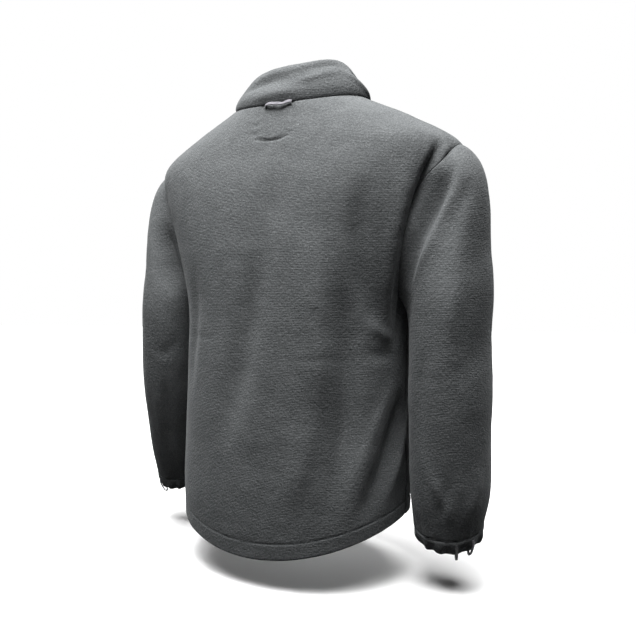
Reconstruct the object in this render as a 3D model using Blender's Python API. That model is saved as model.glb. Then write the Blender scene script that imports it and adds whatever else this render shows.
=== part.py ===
"""A fleece zip-out liner jacket, filled out as when it is worn.

Metres, +Z up.  The wearer faces -Y, so the back lies at +Y and the wearer's
right at -X.  The origin is the middle of the neck opening, level with the
collar seam at the shoulders.

Each cut piece is a closed wall of cloth.  Its outer face is worked out from
sections of the body and the sleeves, with the folds added along the face's
own normal.  Pieces that are sewn together share the points of their seam and
stand SEAM_GAP apart there.
"""

import math

import bpy
import numpy as np

# ---------------------------------------------------------------- sizes
CLOTH = 0.0024  # fleece, one layer
HEM_LAYERS = 0.0042  # the turned-up hem, two layers pressed together
COLLAR_CLOTH = 0.0046  # the collar is cut double
COLLAR_RIDGE = 0.0018  # how far its turned top edge stands up
SEAM_GAP = 0.0003  # between two pieces that are sewn together
HEM_DEPTH = 0.024  # height of the turned-up hem
ZIP_OPENING = 0.0084  # between the two front edges
CUFF_HEIGHT = 0.017

# Rows of the body's walls, counted up from the hem
SIDE_ROWS = 10  # from the hem's stitching to the armpit
ARMHOLE_ROWS = 16  # from the armpit to the shoulder tip
SHOULDER_ROWS = 4  # from the shoulder tip to the neck
BACK_COLUMNS = 32
BACK_CROWD = 0.3  # how much closer the back's columns lie at its armholes
FRONT_COLUMNS = 11
SLEEVE_ROWS = 22
SLEEVE_CAP_ROWS = 7  # of them, from the armhole to the first whole section
CUFF_COLUMNS = 52
CUFF_GATHERS = 13
CUFF_WAVE = 0.0013  # how far the gathers stand out
SLOW_GATHERS, SLOW_SHARE = 5, 0.35  # a slower wave laid over them, and its share of their depth
CUFF_DRAW = 0.0045  # how far the edge is drawn in
GATHERS_GROW = 0.62  # share of the height over which the gathers grow
CUFF_CLOTH = 0.0030

# The zip: a woven tape behind the front edges, the closed teeth and the slider
TAPE_HALF_WIDTH = 0.014
TAPE_CLOTH = 0.0008
TAPE_EASE = 0.0005  # the tape's edges stand this much further from the fronts
TAPE_START = 0.05  # body rows above the hem edge
TAPE_END = 0.93  # share of the collar's height
CHAIN_WIDTH = 0.0055
CHAIN_DEPTH = 0.0022
CHAIN_CLEAR = 0.0011  # below the slider, whose lower face leans
SLIDER_SHARE = 0.80  # of the collar's height
SLIDER_WIDTH = 0.0074
SLIDER_LENGTH = 0.0110
SLIDER_BACK = -0.0036  # outward from the collar's face
SLIDER_FRONT = 0.0008
SLIDER_NARROW = (0.86, 0.70)  # share of the width left at its upper and its lower end
ARCH_WIDTH = 0.0020
ARCH_HOLE = 0.0030  # half the length of the room under the arch
ARCH_END = 0.0045
ARCH_ROOM = 0.0029
ARCH_TOP = 0.0042
PULL_ALONG = 0.0015  # the hinge above the slider's middle
PULL_OUT = 0.00185
PULL_THICK = 0.0013
# Half outlines of the pull from its top to its lower end, (across, along) from the hinge
PULL_OUTLINE = (
    (0.0, 0.00065),
    (0.0023, 0.00065),
    (0.0031, -0.0002),
    (0.0031, -0.0062),
    (0.0025, -0.0082),
    (0.0025, -0.0240),
    (0.0014, -0.0260),
    (0.0, -0.0264),
)
PULL_WINDOW = (
    (0.0, -0.00065),
    (0.0013, -0.00065),
    (0.00175, -0.0011),
    (0.00175, -0.0059),
    (0.0014, -0.0069),
    (0.0009, -0.0069),
    (0.0005, -0.0069),
    (0.0, -0.0069),
)

# The hanging loop on the collar seam, in degrees round the neck
HANGER_FROM, HANGER_TO = 82.0, 104.0
HANGER_WIDTH = 0.0070
HANGER_CLOTH = 0.0010
HANGER_OFF = 0.0020
HANGER_BOW = 0.0035
HANGER_RIPPLE, HANGER_DROP = 0.0007, 0.0012  # out from the seam, and up and down
HANGER_LEAN = 0.17
# Small loops under the cuffs' edges, by their place round the sleeve
CUFF_LOOPS = {"right": (34.6, 62.3), "left": (34.6, 62.3)}
LOOP_TOP = 0.45  # share of the cuff's height at which the tape starts
LOOP_LENGTH = 0.0085  # below the edge
LOOP_INSIDE = 0.0018  # up inside the cuff
LOOP_EASE = 0.0003  # how much further the tape lies from the cuff's uneven inside
LOOP_WIDTH = 0.0030
LOOP_CLOTH = 0.0010
LOOP_OFF = 0.0012  # from the cuff to the middle of the tape

# ---------------------------------------------------------------- sections
# A section of the body is an oval: half_width to each side, `back` and
# `front` from its middle, which lies at `middle` along Y.  power 2 is an
# ellipse and more is squarer.  side_lift and front_lift raise its sides and
# its front above `height`, which is taken at the centre back, and left_lift
# tips it up to the left.
TORSO_COLUMNS = (
    "height", "half_width", "back", "front", "middle", "power", "side_lift", "front_lift", "left_lift",
)
TORSO = (
    (-0.630, 0.176, 0.142, 0.128, 0.000, 2.25, 0.046, 0.030, -0.004),  # hem edge
    (-0.560, 0.177, 0.142, 0.128, 0.002, 2.25, 0.034, 0.022, -0.003),  # hip
    (-0.470, 0.174, 0.139, 0.124, 0.003, 2.25, 0.014, 0.008, -0.001),  # waist
    (-0.380, 0.173, 0.137, 0.123, 0.002, 2.25, 0.002, 0.000, 0.000),  # below the chest
    (-0.287, 0.175, 0.136, 0.126, -0.002, 2.25, 0.000, 0.000, 0.000),  # armpit
    (-0.200, 0.201, 0.132, 0.124, -0.004, 2.20, 0.000, -0.004, 0.000),  # shoulder blades
    (-0.122, 0.234, 0.120, 0.114, -0.004, 2.10, 0.002, -0.022, 0.000),  # top of the chest
    (-0.070, 0.243, 0.104, 0.106, -0.003, 2.00, 0.003, -0.044, 0.000),  # shoulder tip
    (-0.035, 0.180, 0.092, 0.099, -0.001, 2.00, 0.013, -0.062, 0.000),  # middle of the shoulder
    (-0.004, 0.105, 0.080, 0.090, 0.000, 2.00, 0.015, -0.078, 0.000),  # neck seam
)
ARMPIT_ROW, TIP_ROW, NECK_ROW = 4.0, 7.0, 9.0
# How far round from the side the armhole's edge reaches behind and in front, in degrees
ARMHOLES = {"right": (29.0, 34.0), "left": (22.0, 36.0)}
ARMHOLE_POWER = 0.9  # 1 makes an oval armhole and less a squarer one

# A section of a sleeve is an oval round its own middle (out from the body's
# centre plane, back, up), `across` and `deep` wide to each side.  tilt is how
# far the section's plane is turned up from level, and lean how far the arm
# goes forward there.
SLEEVE_COLUMNS = ("out", "back", "up", "across", "deep", "power", "tilt", "lean")
RIGHT_SLEEVE = (
    (0.231, -0.002, -0.263, 0.067, 0.078, 2.1, 38.0, 2.0),  # under the armpit
    (0.2345, 0.000, -0.337, 0.0535, 0.075, 2.2, 14.0, 3.0),  # upper arm
    (0.2365, 0.002, -0.401, 0.0545, 0.070, 2.2, 4.0, 4.0),  # elbow
    (0.2375, 0.002, -0.466, 0.0535, 0.065, 2.2, 0.0, 5.0),  # forearm
    (0.2390, -0.001, -0.535, 0.0525, 0.060, 2.2, 0.0, 8.0),  # above the wrist
    (0.2380, -0.004, -0.587, 0.0428, 0.0485, 2.1, 0.0, 10.0),  # cuff seam
)
LEFT_SLEEVE = (
    (0.227, -0.004, -0.265, 0.062, 0.076, 2.1, 38.0, 2.0),
    (0.2310, -0.006, -0.333, 0.0520, 0.073, 2.2, 14.0, 5.0),
    (0.2360, -0.010, -0.396, 0.0510, 0.069, 2.2, 4.0, 8.0),
    (0.2420, -0.020, -0.458, 0.0490, 0.063, 2.2, 0.0, 12.0),
    (0.2510, -0.035, -0.526, 0.0450, 0.055, 2.2, 0.0, 15.0),
    (0.2570, -0.047, -0.578, 0.0395, 0.044, 2.1, 0.0, 16.0),
)
SLEEVES = {"right": (-1.0, RIGHT_SLEEVE), "left": (1.0, LEFT_SLEEVE)}


def smooth_row(table, at):
    """The table's rows read at fractional places `at`, on a smooth curve through them."""
    rows = np.asarray(table, float)
    at = np.asarray(at, float)
    low = np.clip(np.floor(at).astype(int), 0, len(rows) - 2)
    share = (at - low)[..., None]
    before = rows[np.maximum(low - 1, 0)]
    first, second = rows[low], rows[low + 1]
    after = rows[np.minimum(low + 2, len(rows) - 1)]
    slope_first, slope_second = (second - before) / 2.0, (after - first) / 2.0
    slope_first = np.where((low == 0)[..., None], second - first, slope_first)
    slope_second = np.where((low == len(rows) - 2)[..., None], second - first, slope_second)
    square, cube = share**2, share**3
    return (
        (2 * cube - 3 * square + 1) * first
        + (cube - 2 * square + share) * slope_first
        + (3 * square - 2 * cube) * second
        + (cube - square) * slope_second
    )


def oval(angle, power):
    """(cos, sin) of `angle` moved out to a rounded square of that power."""
    c, s = np.cos(angle), np.sin(angle)
    out = (np.abs(c) ** power + np.abs(s) ** power) ** (-1.0 / power)
    return c * out, s * out


def torso_form(angle, row):
    """The body's form before the folds.  angle 0 is the wearer's left side, pi/2 the centre back."""
    section = smooth_row(TORSO, row)
    height, half_width, back, front, middle, power, side_lift, front_lift, left_lift = np.moveaxis(section, -1, 0)
    c, s = oval(angle, power)
    x = half_width * c
    y = middle + np.where(s > 0, back, front) * s
    z = height + side_lift * np.cos(angle) ** 2 + front_lift * np.minimum(np.sin(angle), 0.0) ** 2
    z = z + left_lift * np.cos(angle)
    return np.stack([x, y, z], axis=-1)


# ---------------------------------------------------------------- folds
# Each row is one soft fold: a line over the cloth from its start to its end,
# `around` in degrees and `up` as a height, bowed sideways by `bow`.  width is
# its half width, side makes one flank steeper (above 1, the far flank is the
# wider one) and rise is how far it stands out (a trough is negative).
FOLD_COLUMNS = ("around", "up", "to_around", "to_up", "bow", "width", "to_width", "side", "rise")
BODY_RADIUS = 0.165  # turns degrees round the body into distance
SLEEVE_RADIUS = 0.062
BODY_FOLDS = (
    (153, -0.064, 151, -0.168, -0.007, 0.012, 0.012, 1.0, -0.0080),  # trough over the right armhole
    (149, -0.108, 163, -0.268, -0.006, 0.013, 0.013, 1.0, -0.0045),  # the same trough along the seam
    (137, -0.094, 148, -0.234, -0.009, 0.012, 0.012, 1.0, 0.0055),  # roll of the back beside the trough
    (124, -0.130, 148, -0.305, -0.013, 0.012, 0.011, 1.3, -0.0062),  # hollow below the shoulder blade
    (141, -0.298, 163, -0.331, -0.004, 0.009, 0.007, 1.0, 0.0026),  # short ridge up from the armpit
    (140, -0.343, 166, -0.348, -0.003, 0.012, 0.010, 1.0, -0.0026),  # hollow under it
    (168, -0.368, 134, -0.564, -0.012, 0.010, 0.012, 1.6, 0.0040),  # edge of the turned plane
    (176, -0.386, 140, -0.582, -0.003, 0.013, 0.014, 1.3, -0.0085),  # pull from the armpit to the hem
    (187, -0.406, 156, -0.559, -0.002, 0.012, 0.011, 1.0, 0.0040),  # ridge at the side seam
    (97, -0.078, 85, -0.278, 0.005, 0.018, 0.020, 1.0, -0.0045),  # long hollow from the neck
    (84, -0.267, 66, -0.461, 0.009, 0.018, 0.016, 1.0, -0.0065),  # the same hollow at the left hip
    (108, -0.165, 113, -0.460, 0.020, 0.020, 0.018, 1.0, 0.0062),  # long ridge in the middle
    (116, -0.401, 100, -0.571, 0.008, 0.016, 0.016, 1.0, 0.0040),  # its lower end
    (125, -0.289, 120, -0.555, 0.017, 0.015, 0.014, 1.0, -0.0062),  # hollow right of the middle
    (127, -0.433, 131, -0.538, 0.009, 0.010, 0.010, 1.0, 0.0030),  # slight ridge in it
    (88, -0.400, 68, -0.520, 0.001, 0.012, 0.012, 1.0, 0.0030),  # slant over the left hip
    (60, -0.140, 49, -0.329, -0.004, 0.010, 0.010, 1.0, 0.0045),  # left side ridge
    (-38, -0.110, -32, -0.270, 0.012, 0.014, 0.015, 1.2, -0.0060),  # left front armhole
    (-52, -0.130, -44, -0.300, 0.010, 0.018, 0.018, 1.0, 0.0050),
    (-20, -0.330, -52, -0.560, 0.002, 0.020, 0.024, 1.0, -0.0070),  # pull to the left front hem
    (-44, -0.350, -66, -0.570, 0.004, 0.020, 0.022, 1.0, 0.0045),
    (-74, -0.250, -78, -0.520, 0.008, 0.018, 0.020, 1.0, -0.0035),
    (219, -0.105, 213, -0.265, -0.012, 0.014, 0.014, 1.2, -0.0065),  # right front armhole
    (233, -0.140, 226, -0.310, -0.009, 0.017, 0.018, 1.0, 0.0050),
    (203, -0.345, 230, -0.565, -0.004, 0.020, 0.022, 1.0, -0.0065),  # pull to the right front hem
    (222, -0.360, 246, -0.575, -0.002, 0.019, 0.022, 1.0, 0.0045),
    (252, -0.210, 257, -0.470, -0.007, 0.018, 0.018, 1.0, -0.0035),
)
RIGHT_SLEEVE_FOLDS = (
    (62, -0.110, 108, -0.210, 0.002, 0.008, 0.008, 1.0, 0.0030),  # roll between two troughs
    (48, -0.095, 128, -0.251, -0.004, 0.010, 0.010, 1.0, -0.0060),  # trough behind the shoulder
    (31, -0.080, 124, -0.254, -0.004, 0.010, 0.010, 1.3, 0.0040),  # crisp roll beyond it
    (96, -0.206, 154, -0.321, 0.004, 0.009, 0.009, 1.3, 0.0045),  # its lower end
    (32, -0.106, 82, -0.212, 0.003, 0.012, 0.012, 1.0, -0.0045),  # hollow under the roll
    (53, -0.180, 78, -0.401, 0.005, 0.016, 0.016, 1.0, 0.0028),  # soft ridge down the arm
    (108, -0.313, 106, -0.496, 0.008, 0.013, 0.013, 1.0, -0.0035),  # hollow down the inside
    (16, -0.312, 75, -0.391, -0.001, 0.016, 0.015, 1.0, -0.0014),  # elbow
    (-28, -0.150, -84, -0.262, -0.004, 0.014, 0.014, 1.0, -0.0050),  # front of the shoulder
    (-60, -0.330, -66, -0.500, 0.004, 0.015, 0.015, 1.0, 0.0032),
    (-20, -0.420, -72, -0.480, 0.003, 0.012, 0.012, 1.0, -0.0034),
    (104, -0.480, 68, -0.572, 0.003, 0.010, 0.008, 1.0, 0.0022),  # slants above the cuff
    (74, -0.490, 96, -0.572, -0.005, 0.009, 0.008, 1.0, -0.0022),
    (30, -0.478, 54, -0.572, -0.006, 0.010, 0.008, 1.0, 0.0022),
)
LEFT_SLEEVE_FOLDS = (
    (76, -0.129, 121, -0.277, -0.001, 0.013, 0.013, 1.0, -0.0075),  # hollow along the armhole
    (136, -0.324, 84, -0.361, 0.018, 0.013, 0.012, 1.0, -0.0022),  # elbow
    (88, -0.390, 94, -0.541, 0.003, 0.010, 0.009, 1.0, 0.0022),  # ridge down the forearm
    (112, -0.390, 118, -0.540, -0.001, 0.009, 0.008, 1.0, -0.0022),  # hollow beside it
    (-24, -0.160, -80, -0.250, -0.004, 0.014, 0.014, 1.0, -0.0045),  # front of the shoulder
    (-30, -0.345, -88, -0.395, 0.005, 0.013, 0.012, 1.0, -0.0040),  # inside of the elbow
    (-34, -0.392, -84, -0.440, 0.004, 0.013, 0.012, 1.0, 0.0034),
)
SLEEVE_FOLDS = {"right": RIGHT_SLEEVE_FOLDS, "left": LEFT_SLEEVE_FOLDS}
FOLD_TAPER = 0.28  # share of a fold's length over which each end dies away
FOLDS_START, FOLDS_STOP = 0.35, 0.25  # sleeve rows over which the folds grow and die away at its seams


def smooth_step(x):
    x = np.clip(x, 0.0, 1.0)
    return x * x * (3.0 - 2.0 * x)


def relief(around, up, folds, radius):
    """How far the folds lift the cloth at each place, in metres."""
    total = np.zeros(np.broadcast(around, up).shape)
    for start, low, end, high, bow, width, to_width, side, rise in folds:
        run = np.array([math.radians(end - start) * radius, high - low])
        length = np.linalg.norm(run)
        along_dir = run / length
        du, dz = (around - math.radians(start)) * radius, up - low
        share = (du * along_dir[0] + dz * along_dir[1]) / length
        off = -du * along_dir[1] + dz * along_dir[0]
        inside = np.clip(share, 0.0, 1.0)
        off = off - bow * 4.0 * inside * (1.0 - inside)
        half = width + (to_width - width) * inside
        half = np.where(off > 0, half * side, half)
        fade = smooth_step(share / FOLD_TAPER) * smooth_step((1.0 - share) / FOLD_TAPER)
        total = total + rise * fade * np.exp(-((off / half) ** 2))
    return total


# ---------------------------------------------------------------- faces
STEP = 1e-3  # for slopes taken by differences


def normal_of(face, a, b):
    """The outward normal of face(a, b), by differences."""
    along_a = face(a + STEP, b) - face(a - STEP, b)
    along_b = face(a, b + STEP) - face(a, b - STEP)
    normal = np.cross(along_a, along_b)
    return normal / np.linalg.norm(normal, axis=-1, keepdims=True)


def torso_face(angle, row):
    """The outer face of the body's cloth, with its folds."""
    angle, row = np.broadcast_arrays(np.asarray(angle, float), np.asarray(row, float))
    form = torso_form(angle, row)
    lift = relief(angle, form[..., 2], BODY_FOLDS, BODY_RADIUS)
    return form + normal_of(torso_form, angle, row) * lift[..., None]


def armhole_row(phi):
    """The body row of the armhole's edge at `phi` round the sleeve, 0 at the shoulder tip and pi at the armpit."""
    return ARMPIT_ROW + (TIP_ROW - ARMPIT_ROW) * (1.0 + np.cos(phi)) / 2.0


def armhole_reach(name, phi):
    """How far round the body from its side the armhole's edge lies, in radians, behind positive."""
    back, front = ARMHOLES[name]
    turn = np.sin(phi)
    reach = np.where(turn > 0, back, front)
    return np.radians(reach) * np.sign(turn) * np.abs(turn) ** ARMHOLE_POWER


def armhole_place(name, phi):
    """The armhole's edge as an angle and a row of the body."""
    reach = armhole_reach(name, phi)
    angle = reach if SLEEVES[name][0] > 0 else math.pi - reach
    return angle, armhole_row(phi)


def armhole_point(name, phi):
    return torso_face(*armhole_place(name, phi))


def sleeve_ring(name, phi, index, drop=0.0, swell=0.0):
    """A point of one of a sleeve's own sections, or of one moved down the arm by `drop`."""
    side, sections = SLEEVES[name]
    out, back, up, across, deep, power, tilt, lean = sections[index]
    c, s = oval(phi, power)
    tilt, lean = math.radians(tilt), math.radians(lean)
    outward = np.array([side * math.cos(tilt), 0.0, math.sin(tilt)])
    backward = np.array([0.0, math.cos(lean), -math.sin(lean)])
    down = -np.cross(outward, backward) * side
    wide = (across + swell) * c
    long = (deep + swell) * s
    middle = np.array([side * out, back, up])
    return middle + wide[..., None] * outward + long[..., None] * backward + np.asarray(drop)[..., None] * down


START_DROP = 42.0  # how steeply the sleeve leaves the armhole at its back and front, in degrees
START_TURN = 15.0  # less than that at the shoulder tip and more at the armpit
START_BACK = 0.22


def sleeve_form(name, phi, row):
    """The sleeve before its folds: row 0 is the armhole's seam and the last row the cuff seam."""
    side, sections = SLEEVES[name]
    phi, row = np.broadcast_arrays(np.asarray(phi, float), np.asarray(row, float))
    last = len(sections)
    keys = [armhole_point(name, phi)]
    keys += [sleeve_ring(name, phi, index) for index in range(last)]
    keys = np.stack(keys)
    slopes = np.empty_like(keys)
    slopes[1:-1] = (keys[2:] - keys[:-2]) / 2.0
    slopes[-1] = keys[-1] - keys[-2]
    drop = np.radians(START_DROP - START_TURN * np.cos(phi))
    start = np.stack([side * np.cos(drop), START_BACK * np.sin(phi), -np.sin(drop)], axis=-1)
    reach = np.linalg.norm(keys[1] - keys[0], axis=-1, keepdims=True)
    slopes[0] = start / np.linalg.norm(start, axis=-1, keepdims=True) * reach
    low = np.clip(np.floor(row).astype(int), 0, last - 1)
    share = (row - low)[..., None]

    def pick(values, index):
        return np.take_along_axis(values, index[None, ..., None], axis=0)[0]

    square, cube = share**2, share**3
    return (
        (2 * cube - 3 * square + 1) * pick(keys, low)
        + (cube - 2 * square + share) * pick(slopes, low)
        + (3 * square - 2 * cube) * pick(keys, low + 1)
        + (cube - square) * pick(slopes, low + 1)
    )


def sleeve_face(name, phi, row):
    """The outer face of a sleeve, with its folds, which start from nothing at the armhole."""
    side, sections = SLEEVES[name]
    phi, row = np.broadcast_arrays(np.asarray(phi, float), np.asarray(row, float))

    def form(p, r):
        return sleeve_form(name, p, r)

    base = form(phi, row)
    turn = np.mod(phi + math.pi / 2, 2 * math.pi) - math.pi / 2
    lift = relief(turn, base[..., 2], SLEEVE_FOLDS[name], SLEEVE_RADIUS)
    lift = lift * smooth_step(row / FOLDS_START) * smooth_step((len(sections) - row) / FOLDS_STOP)
    return base - side * normal_of(form, phi, row) * lift[..., None]


def sleeve_normal(name, phi, row):
    side = SLEEVES[name][0]
    return -side * normal_of(lambda p, r: sleeve_face(name, p, r), phi, row)


# The collar's outer face: each row lies `rise` above the neck seam and `inset`
# inside it at the back and sides, and less than that in front.
COLLAR_COLUMNS = ("rise", "inset")
COLLAR = (
    (0.000, 0.0000),
    (0.014, 0.0006),
    (0.028, 0.0054),
    (0.042, 0.0126),
    (0.056, 0.0210),
)
COLLAR_FRONT_INSET = 0.2917  # share of the inset that is left at the centre front
COLLAR_BACK_INSET = 0.70  # and at the centre back
COLLAR_SAG, SAG_AT = 0.38, 22.0  # the sides sink by this share, most at this place and opposite it
COLLAR_BACK_RISE = 0.97  # the collar is a little lower behind
COLLAR_ROWS = 5
COLLAR_FOLDS = (
    (74, 0.022, 118, 0.026, 0.002, 0.008, 0.008, 1.0, -0.0022),  # soft roll across the back
    (62, 0.037, 112, 0.040, 0.002, 0.008, 0.008, 1.0, 0.0018),
    (130, 0.050, 158, 0.018, 0.002, 0.009, 0.009, 1.0, -0.0040),  # slanting crease on the right
    (30, 0.018, 60, 0.034, 0.001, 0.009, 0.009, 1.0, -0.0020),
    (-40, 0.020, -10, 0.038, 0.001, 0.009, 0.009, 1.0, -0.0020),
    (196, 0.034, 228, 0.018, 0.001, 0.009, 0.009, 1.0, -0.0020),
)
COLLAR_RADIUS = 0.09


def collar_form(angle, share):
    """The collar before its folds: share 0 is the neck seam and 1 the top edge."""
    angle, share = np.broadcast_arrays(np.asarray(angle, float), np.asarray(share, float))
    seam = torso_face(angle, NECK_ROW)
    rise, inset = np.moveaxis(smooth_row(COLLAR, share * (len(COLLAR) - 1)), -1, 0)
    front, behind = np.clip(-np.sin(angle), 0.0, 1.0), np.clip(np.sin(angle), 0.0, 1.0)
    inset = inset * (1.0 - (1.0 - COLLAR_FRONT_INSET) * front**2 - (1.0 - COLLAR_BACK_INSET) * behind**2)
    rise = rise * (COLLAR_BACK_RISE + (1.0 - COLLAR_BACK_RISE) * front)
    sag = COLLAR_SAG * np.cos(angle - math.radians(SAG_AT)) ** 4 * (1.0 - front**2) ** 2
    rise = rise * (1.0 - sag)
    flat = seam * [1.0, 1.0, 0.0]
    inward = -flat / np.linalg.norm(flat, axis=-1, keepdims=True)
    return seam + inward * inset[..., None] + rise[..., None] * [0.0, 0.0, 1.0]


def collar_face(angle, share):
    angle, share = np.broadcast_arrays(np.asarray(angle, float), np.asarray(share, float))
    lift = relief(angle, share * COLLAR[-1][0], COLLAR_FOLDS, COLLAR_RADIUS)
    return collar_form(angle, share) + normal_of(collar_form, angle, share) * lift[..., None]


def unit(vectors):
    return vectors / np.linalg.norm(vectors, axis=-1, keepdims=True)


def armhole_normal(name, phi):
    """The direction in which the body's and the sleeve's cloth are mitred at the armhole."""
    body = normal_of(torso_face, *armhole_place(name, phi))
    return unit(body + sleeve_normal(name, phi, 2 * STEP))


def neck_normal(angle):
    body = normal_of(torso_face, angle, NECK_ROW - 2 * STEP)
    return unit(body + normal_of(collar_face, angle, 2 * STEP))


# ---------------------------------------------------------------- walls
HALF_GAP = SEAM_GAP / 2
HEM_SHARE = HEM_DEPTH / (TORSO[1][0] - TORSO[0][0])  # the turned-up hem in body rows
HEM_STEP = 0.03  # body rows over which the hem's edge steps down
HEM_RISE = 0.0006  # how far the hem stands out of the cloth above it


def closed_mesh(profile, ring):
    """A closed mesh over profile[rows, columns]: the rows run out one face and back the other.

    ring joins the last column to the first, and otherwise both ends are capped.
    """
    rows, columns = profile.shape[:2]
    index = np.arange(rows * columns).reshape(rows, columns)
    faces = []
    for i in range(rows):
        j = (i + 1) % rows
        for k in range(columns if ring else columns - 1):
            n = (k + 1) % columns
            faces.append((index[i, k], index[i, n], index[j, n], index[j, k]))
    if not ring:
        for i in range(rows // 2):
            low, high = rows - 1 - i, rows - 2 - i
            for k, turn in ((0, 1), (columns - 1, -1)):
                cap = [index[i, k], index[i + 1, k]]
                cap += [index[high, k]] if high > i + 1 else []
                cap += [index[low, k]]
                if len(set(cap)) > 2:
                    faces.append(tuple(cap[::turn]))
    points = profile.reshape(-1, 3)
    volume = sum(signed_volume(points, face) for face in faces)
    if volume < 0:
        faces = [face[::-1] for face in faces]
    return points, faces


def signed_volume(points, face):
    total = 0.0
    for second, third in zip(face[1:-1], face[2:]):
        total += np.dot(points[face[0]], np.cross(points[second], points[third]))
    return total


def add_object(name, points, faces, material, origin=(0.0, 0.0, 0.0)):
    mesh = bpy.data.meshes.new(name)
    local = np.asarray(points, float) - np.asarray(origin, float)
    mesh.from_pydata([tuple(p) for p in local], [], [tuple(int(i) for i in face) for face in faces])
    mesh.materials.append(material)
    mesh.update()
    item = bpy.data.objects.new(name, mesh)
    item.location = origin
    bpy.context.scene.collection.objects.link(item)
    return item


def add_material(name, colour, roughness, metallic=0.0):
    material = bpy.data.materials.new(name)
    material.use_nodes = True
    shader = material.node_tree.nodes["Principled BSDF"]
    shader.inputs["Base Color"].default_value = (*colour, 1.0)
    shader.inputs["Roughness"].default_value = roughness
    shader.inputs["Metallic"].default_value = metallic
    return material


def body_rows():
    """The rows of the body's walls, from the hem edge to the neck seam."""
    hem = np.array([0.0, HEM_SHARE / 2, HEM_SHARE - HEM_STEP, HEM_SHARE + HEM_STEP])
    side = np.linspace(hem[-1], ARMPIT_ROW, SIDE_ROWS + 1)[1:]
    armhole = armhole_row(np.linspace(math.pi, 0.0, ARMHOLE_ROWS + 1))[1:]
    top = np.linspace(TIP_ROW, NECK_ROW, SHOULDER_ROWS + 1)[1:]
    return np.concatenate([hem, side, armhole, top])


def row_phi(rows):
    """The place round the sleeve of the armhole's edge at each row, or pi and 0 outside it."""
    share = np.clip((rows - ARMPIT_ROW) / (TIP_ROW - ARMPIT_ROW), 0.0, 1.0)
    return np.arccos(2.0 * share - 1.0)


def column_angle(low, high, columns, crowd):
    """Angles from low to high in every row, closer together at both ends where crowd is above 0."""
    share = np.linspace(0.0, 1.0, columns + 1)
    share = share - crowd * np.sin(2 * math.pi * share) / (2 * math.pi)
    return low[:, None] + (high - low)[:, None] * share[None, :]


def side_edge(name, behind, rows):
    """The angle of a body panel's edge at that side, in each row."""
    phi = row_phi(rows)
    reach = armhole_reach(name, phi if behind else -phi)
    return reach if SLEEVES[name][0] > 0 else math.pi - reach


def near_zip(form, rows, off):
    """The angle that lies `off` from the centre front of that form, in each row."""
    middle = np.full_like(rows, -math.pi / 2)
    pace = np.linalg.norm(form(middle + STEP, rows) - form(middle - STEP, rows), axis=-1) / (2 * STEP)
    return middle + off / pace


def hem_share(rows):
    """1 in the turned-up hem and 0 above it."""
    return 1.0 - smooth_step((rows - HEM_SHARE + HEM_STEP) / (2 * HEM_STEP))


def body_wall(angle, rows, edges):
    """One panel of the body as a profile.  edges names the armholes that its first and last columns meet."""
    row = np.repeat(rows[:, None], angle.shape[1], axis=1)
    outer = torso_face(angle, row)
    normal = normal_of(torso_face, angle, row)
    hem = hem_share(row)
    normal[-1] = neck_normal(angle[-1])
    thick = CLOTH + (HEM_LAYERS - CLOTH) * hem
    shift = np.zeros_like(outer)
    for column, name, behind in edges:
        inner = 1 if column == 0 else -2
        across = unit(outer[:, inner] - outer[:, column])
        phi = row_phi(rows)
        phi = phi if behind else -phi
        hole = (rows >= ARMPIT_ROW - 1e-9) & (rows <= TIP_ROW + 1e-9)
        normal[hole, column] = armhole_normal(name, phi[hole])
        seam = (rows <= ARMPIT_ROW + 1e-9) | (rows >= TIP_ROW - 1e-9)
        shift[seam, column] += across[seam] * HALF_GAP
        along = armhole_point(name, phi[hole] + STEP) - armhole_point(name, phi[hole] - STEP)
        away = unit(np.cross(normal[hole, column], along))
        middle = armhole_point(name, np.linspace(0.0, 2 * math.pi, 24, endpoint=False)).mean(axis=0)
        outside = np.sign(np.sum(away * (outer[hole, column] - middle), axis=-1, keepdims=True))
        shift[hole, column] += away * outside * HALF_GAP
    shift[-1] += unit(outer[-2] - outer[-1]) * HALF_GAP
    outer = outer + shift + normal * (hem * HEM_RISE)[..., None]
    inner = outer - normal * thick[..., None]
    return np.concatenate([outer, inner[::-1]])


def panels():
    """The body's three panels: the angles of each in every row, and the armholes at its ends."""
    rows = body_rows()
    zip_left = near_zip(torso_form, rows, ZIP_OPENING / 2)
    zip_right = near_zip(torso_form, rows, -ZIP_OPENING / 2) + 2 * math.pi
    back = column_angle(side_edge("left", True, rows), side_edge("right", True, rows), BACK_COLUMNS, BACK_CROWD)
    left = column_angle(zip_left, side_edge("left", False, rows), FRONT_COLUMNS, 0.0)
    right = column_angle(side_edge("right", False, rows), zip_right, FRONT_COLUMNS, 0.0)
    return rows, {
        "back": (back, ((0, "left", True), (-1, "right", True))),
        "front_left": (left, ((-1, "left", False),)),
        "front_right": (right, ((0, "right", False),)),
    }


def arm_end(name):
    """The direction down the arm at the cuff seam."""
    lean = math.radians(SLEEVES[name][1][-1][-1])
    return np.array([0.0, -math.sin(lean), -math.cos(lean)])


def level(normals, down):
    """The normals turned square to `down`, so that both sides of the cuff seam end flat."""
    return unit(normals - np.sum(normals * down, axis=-1, keepdims=True) * down)


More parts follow.
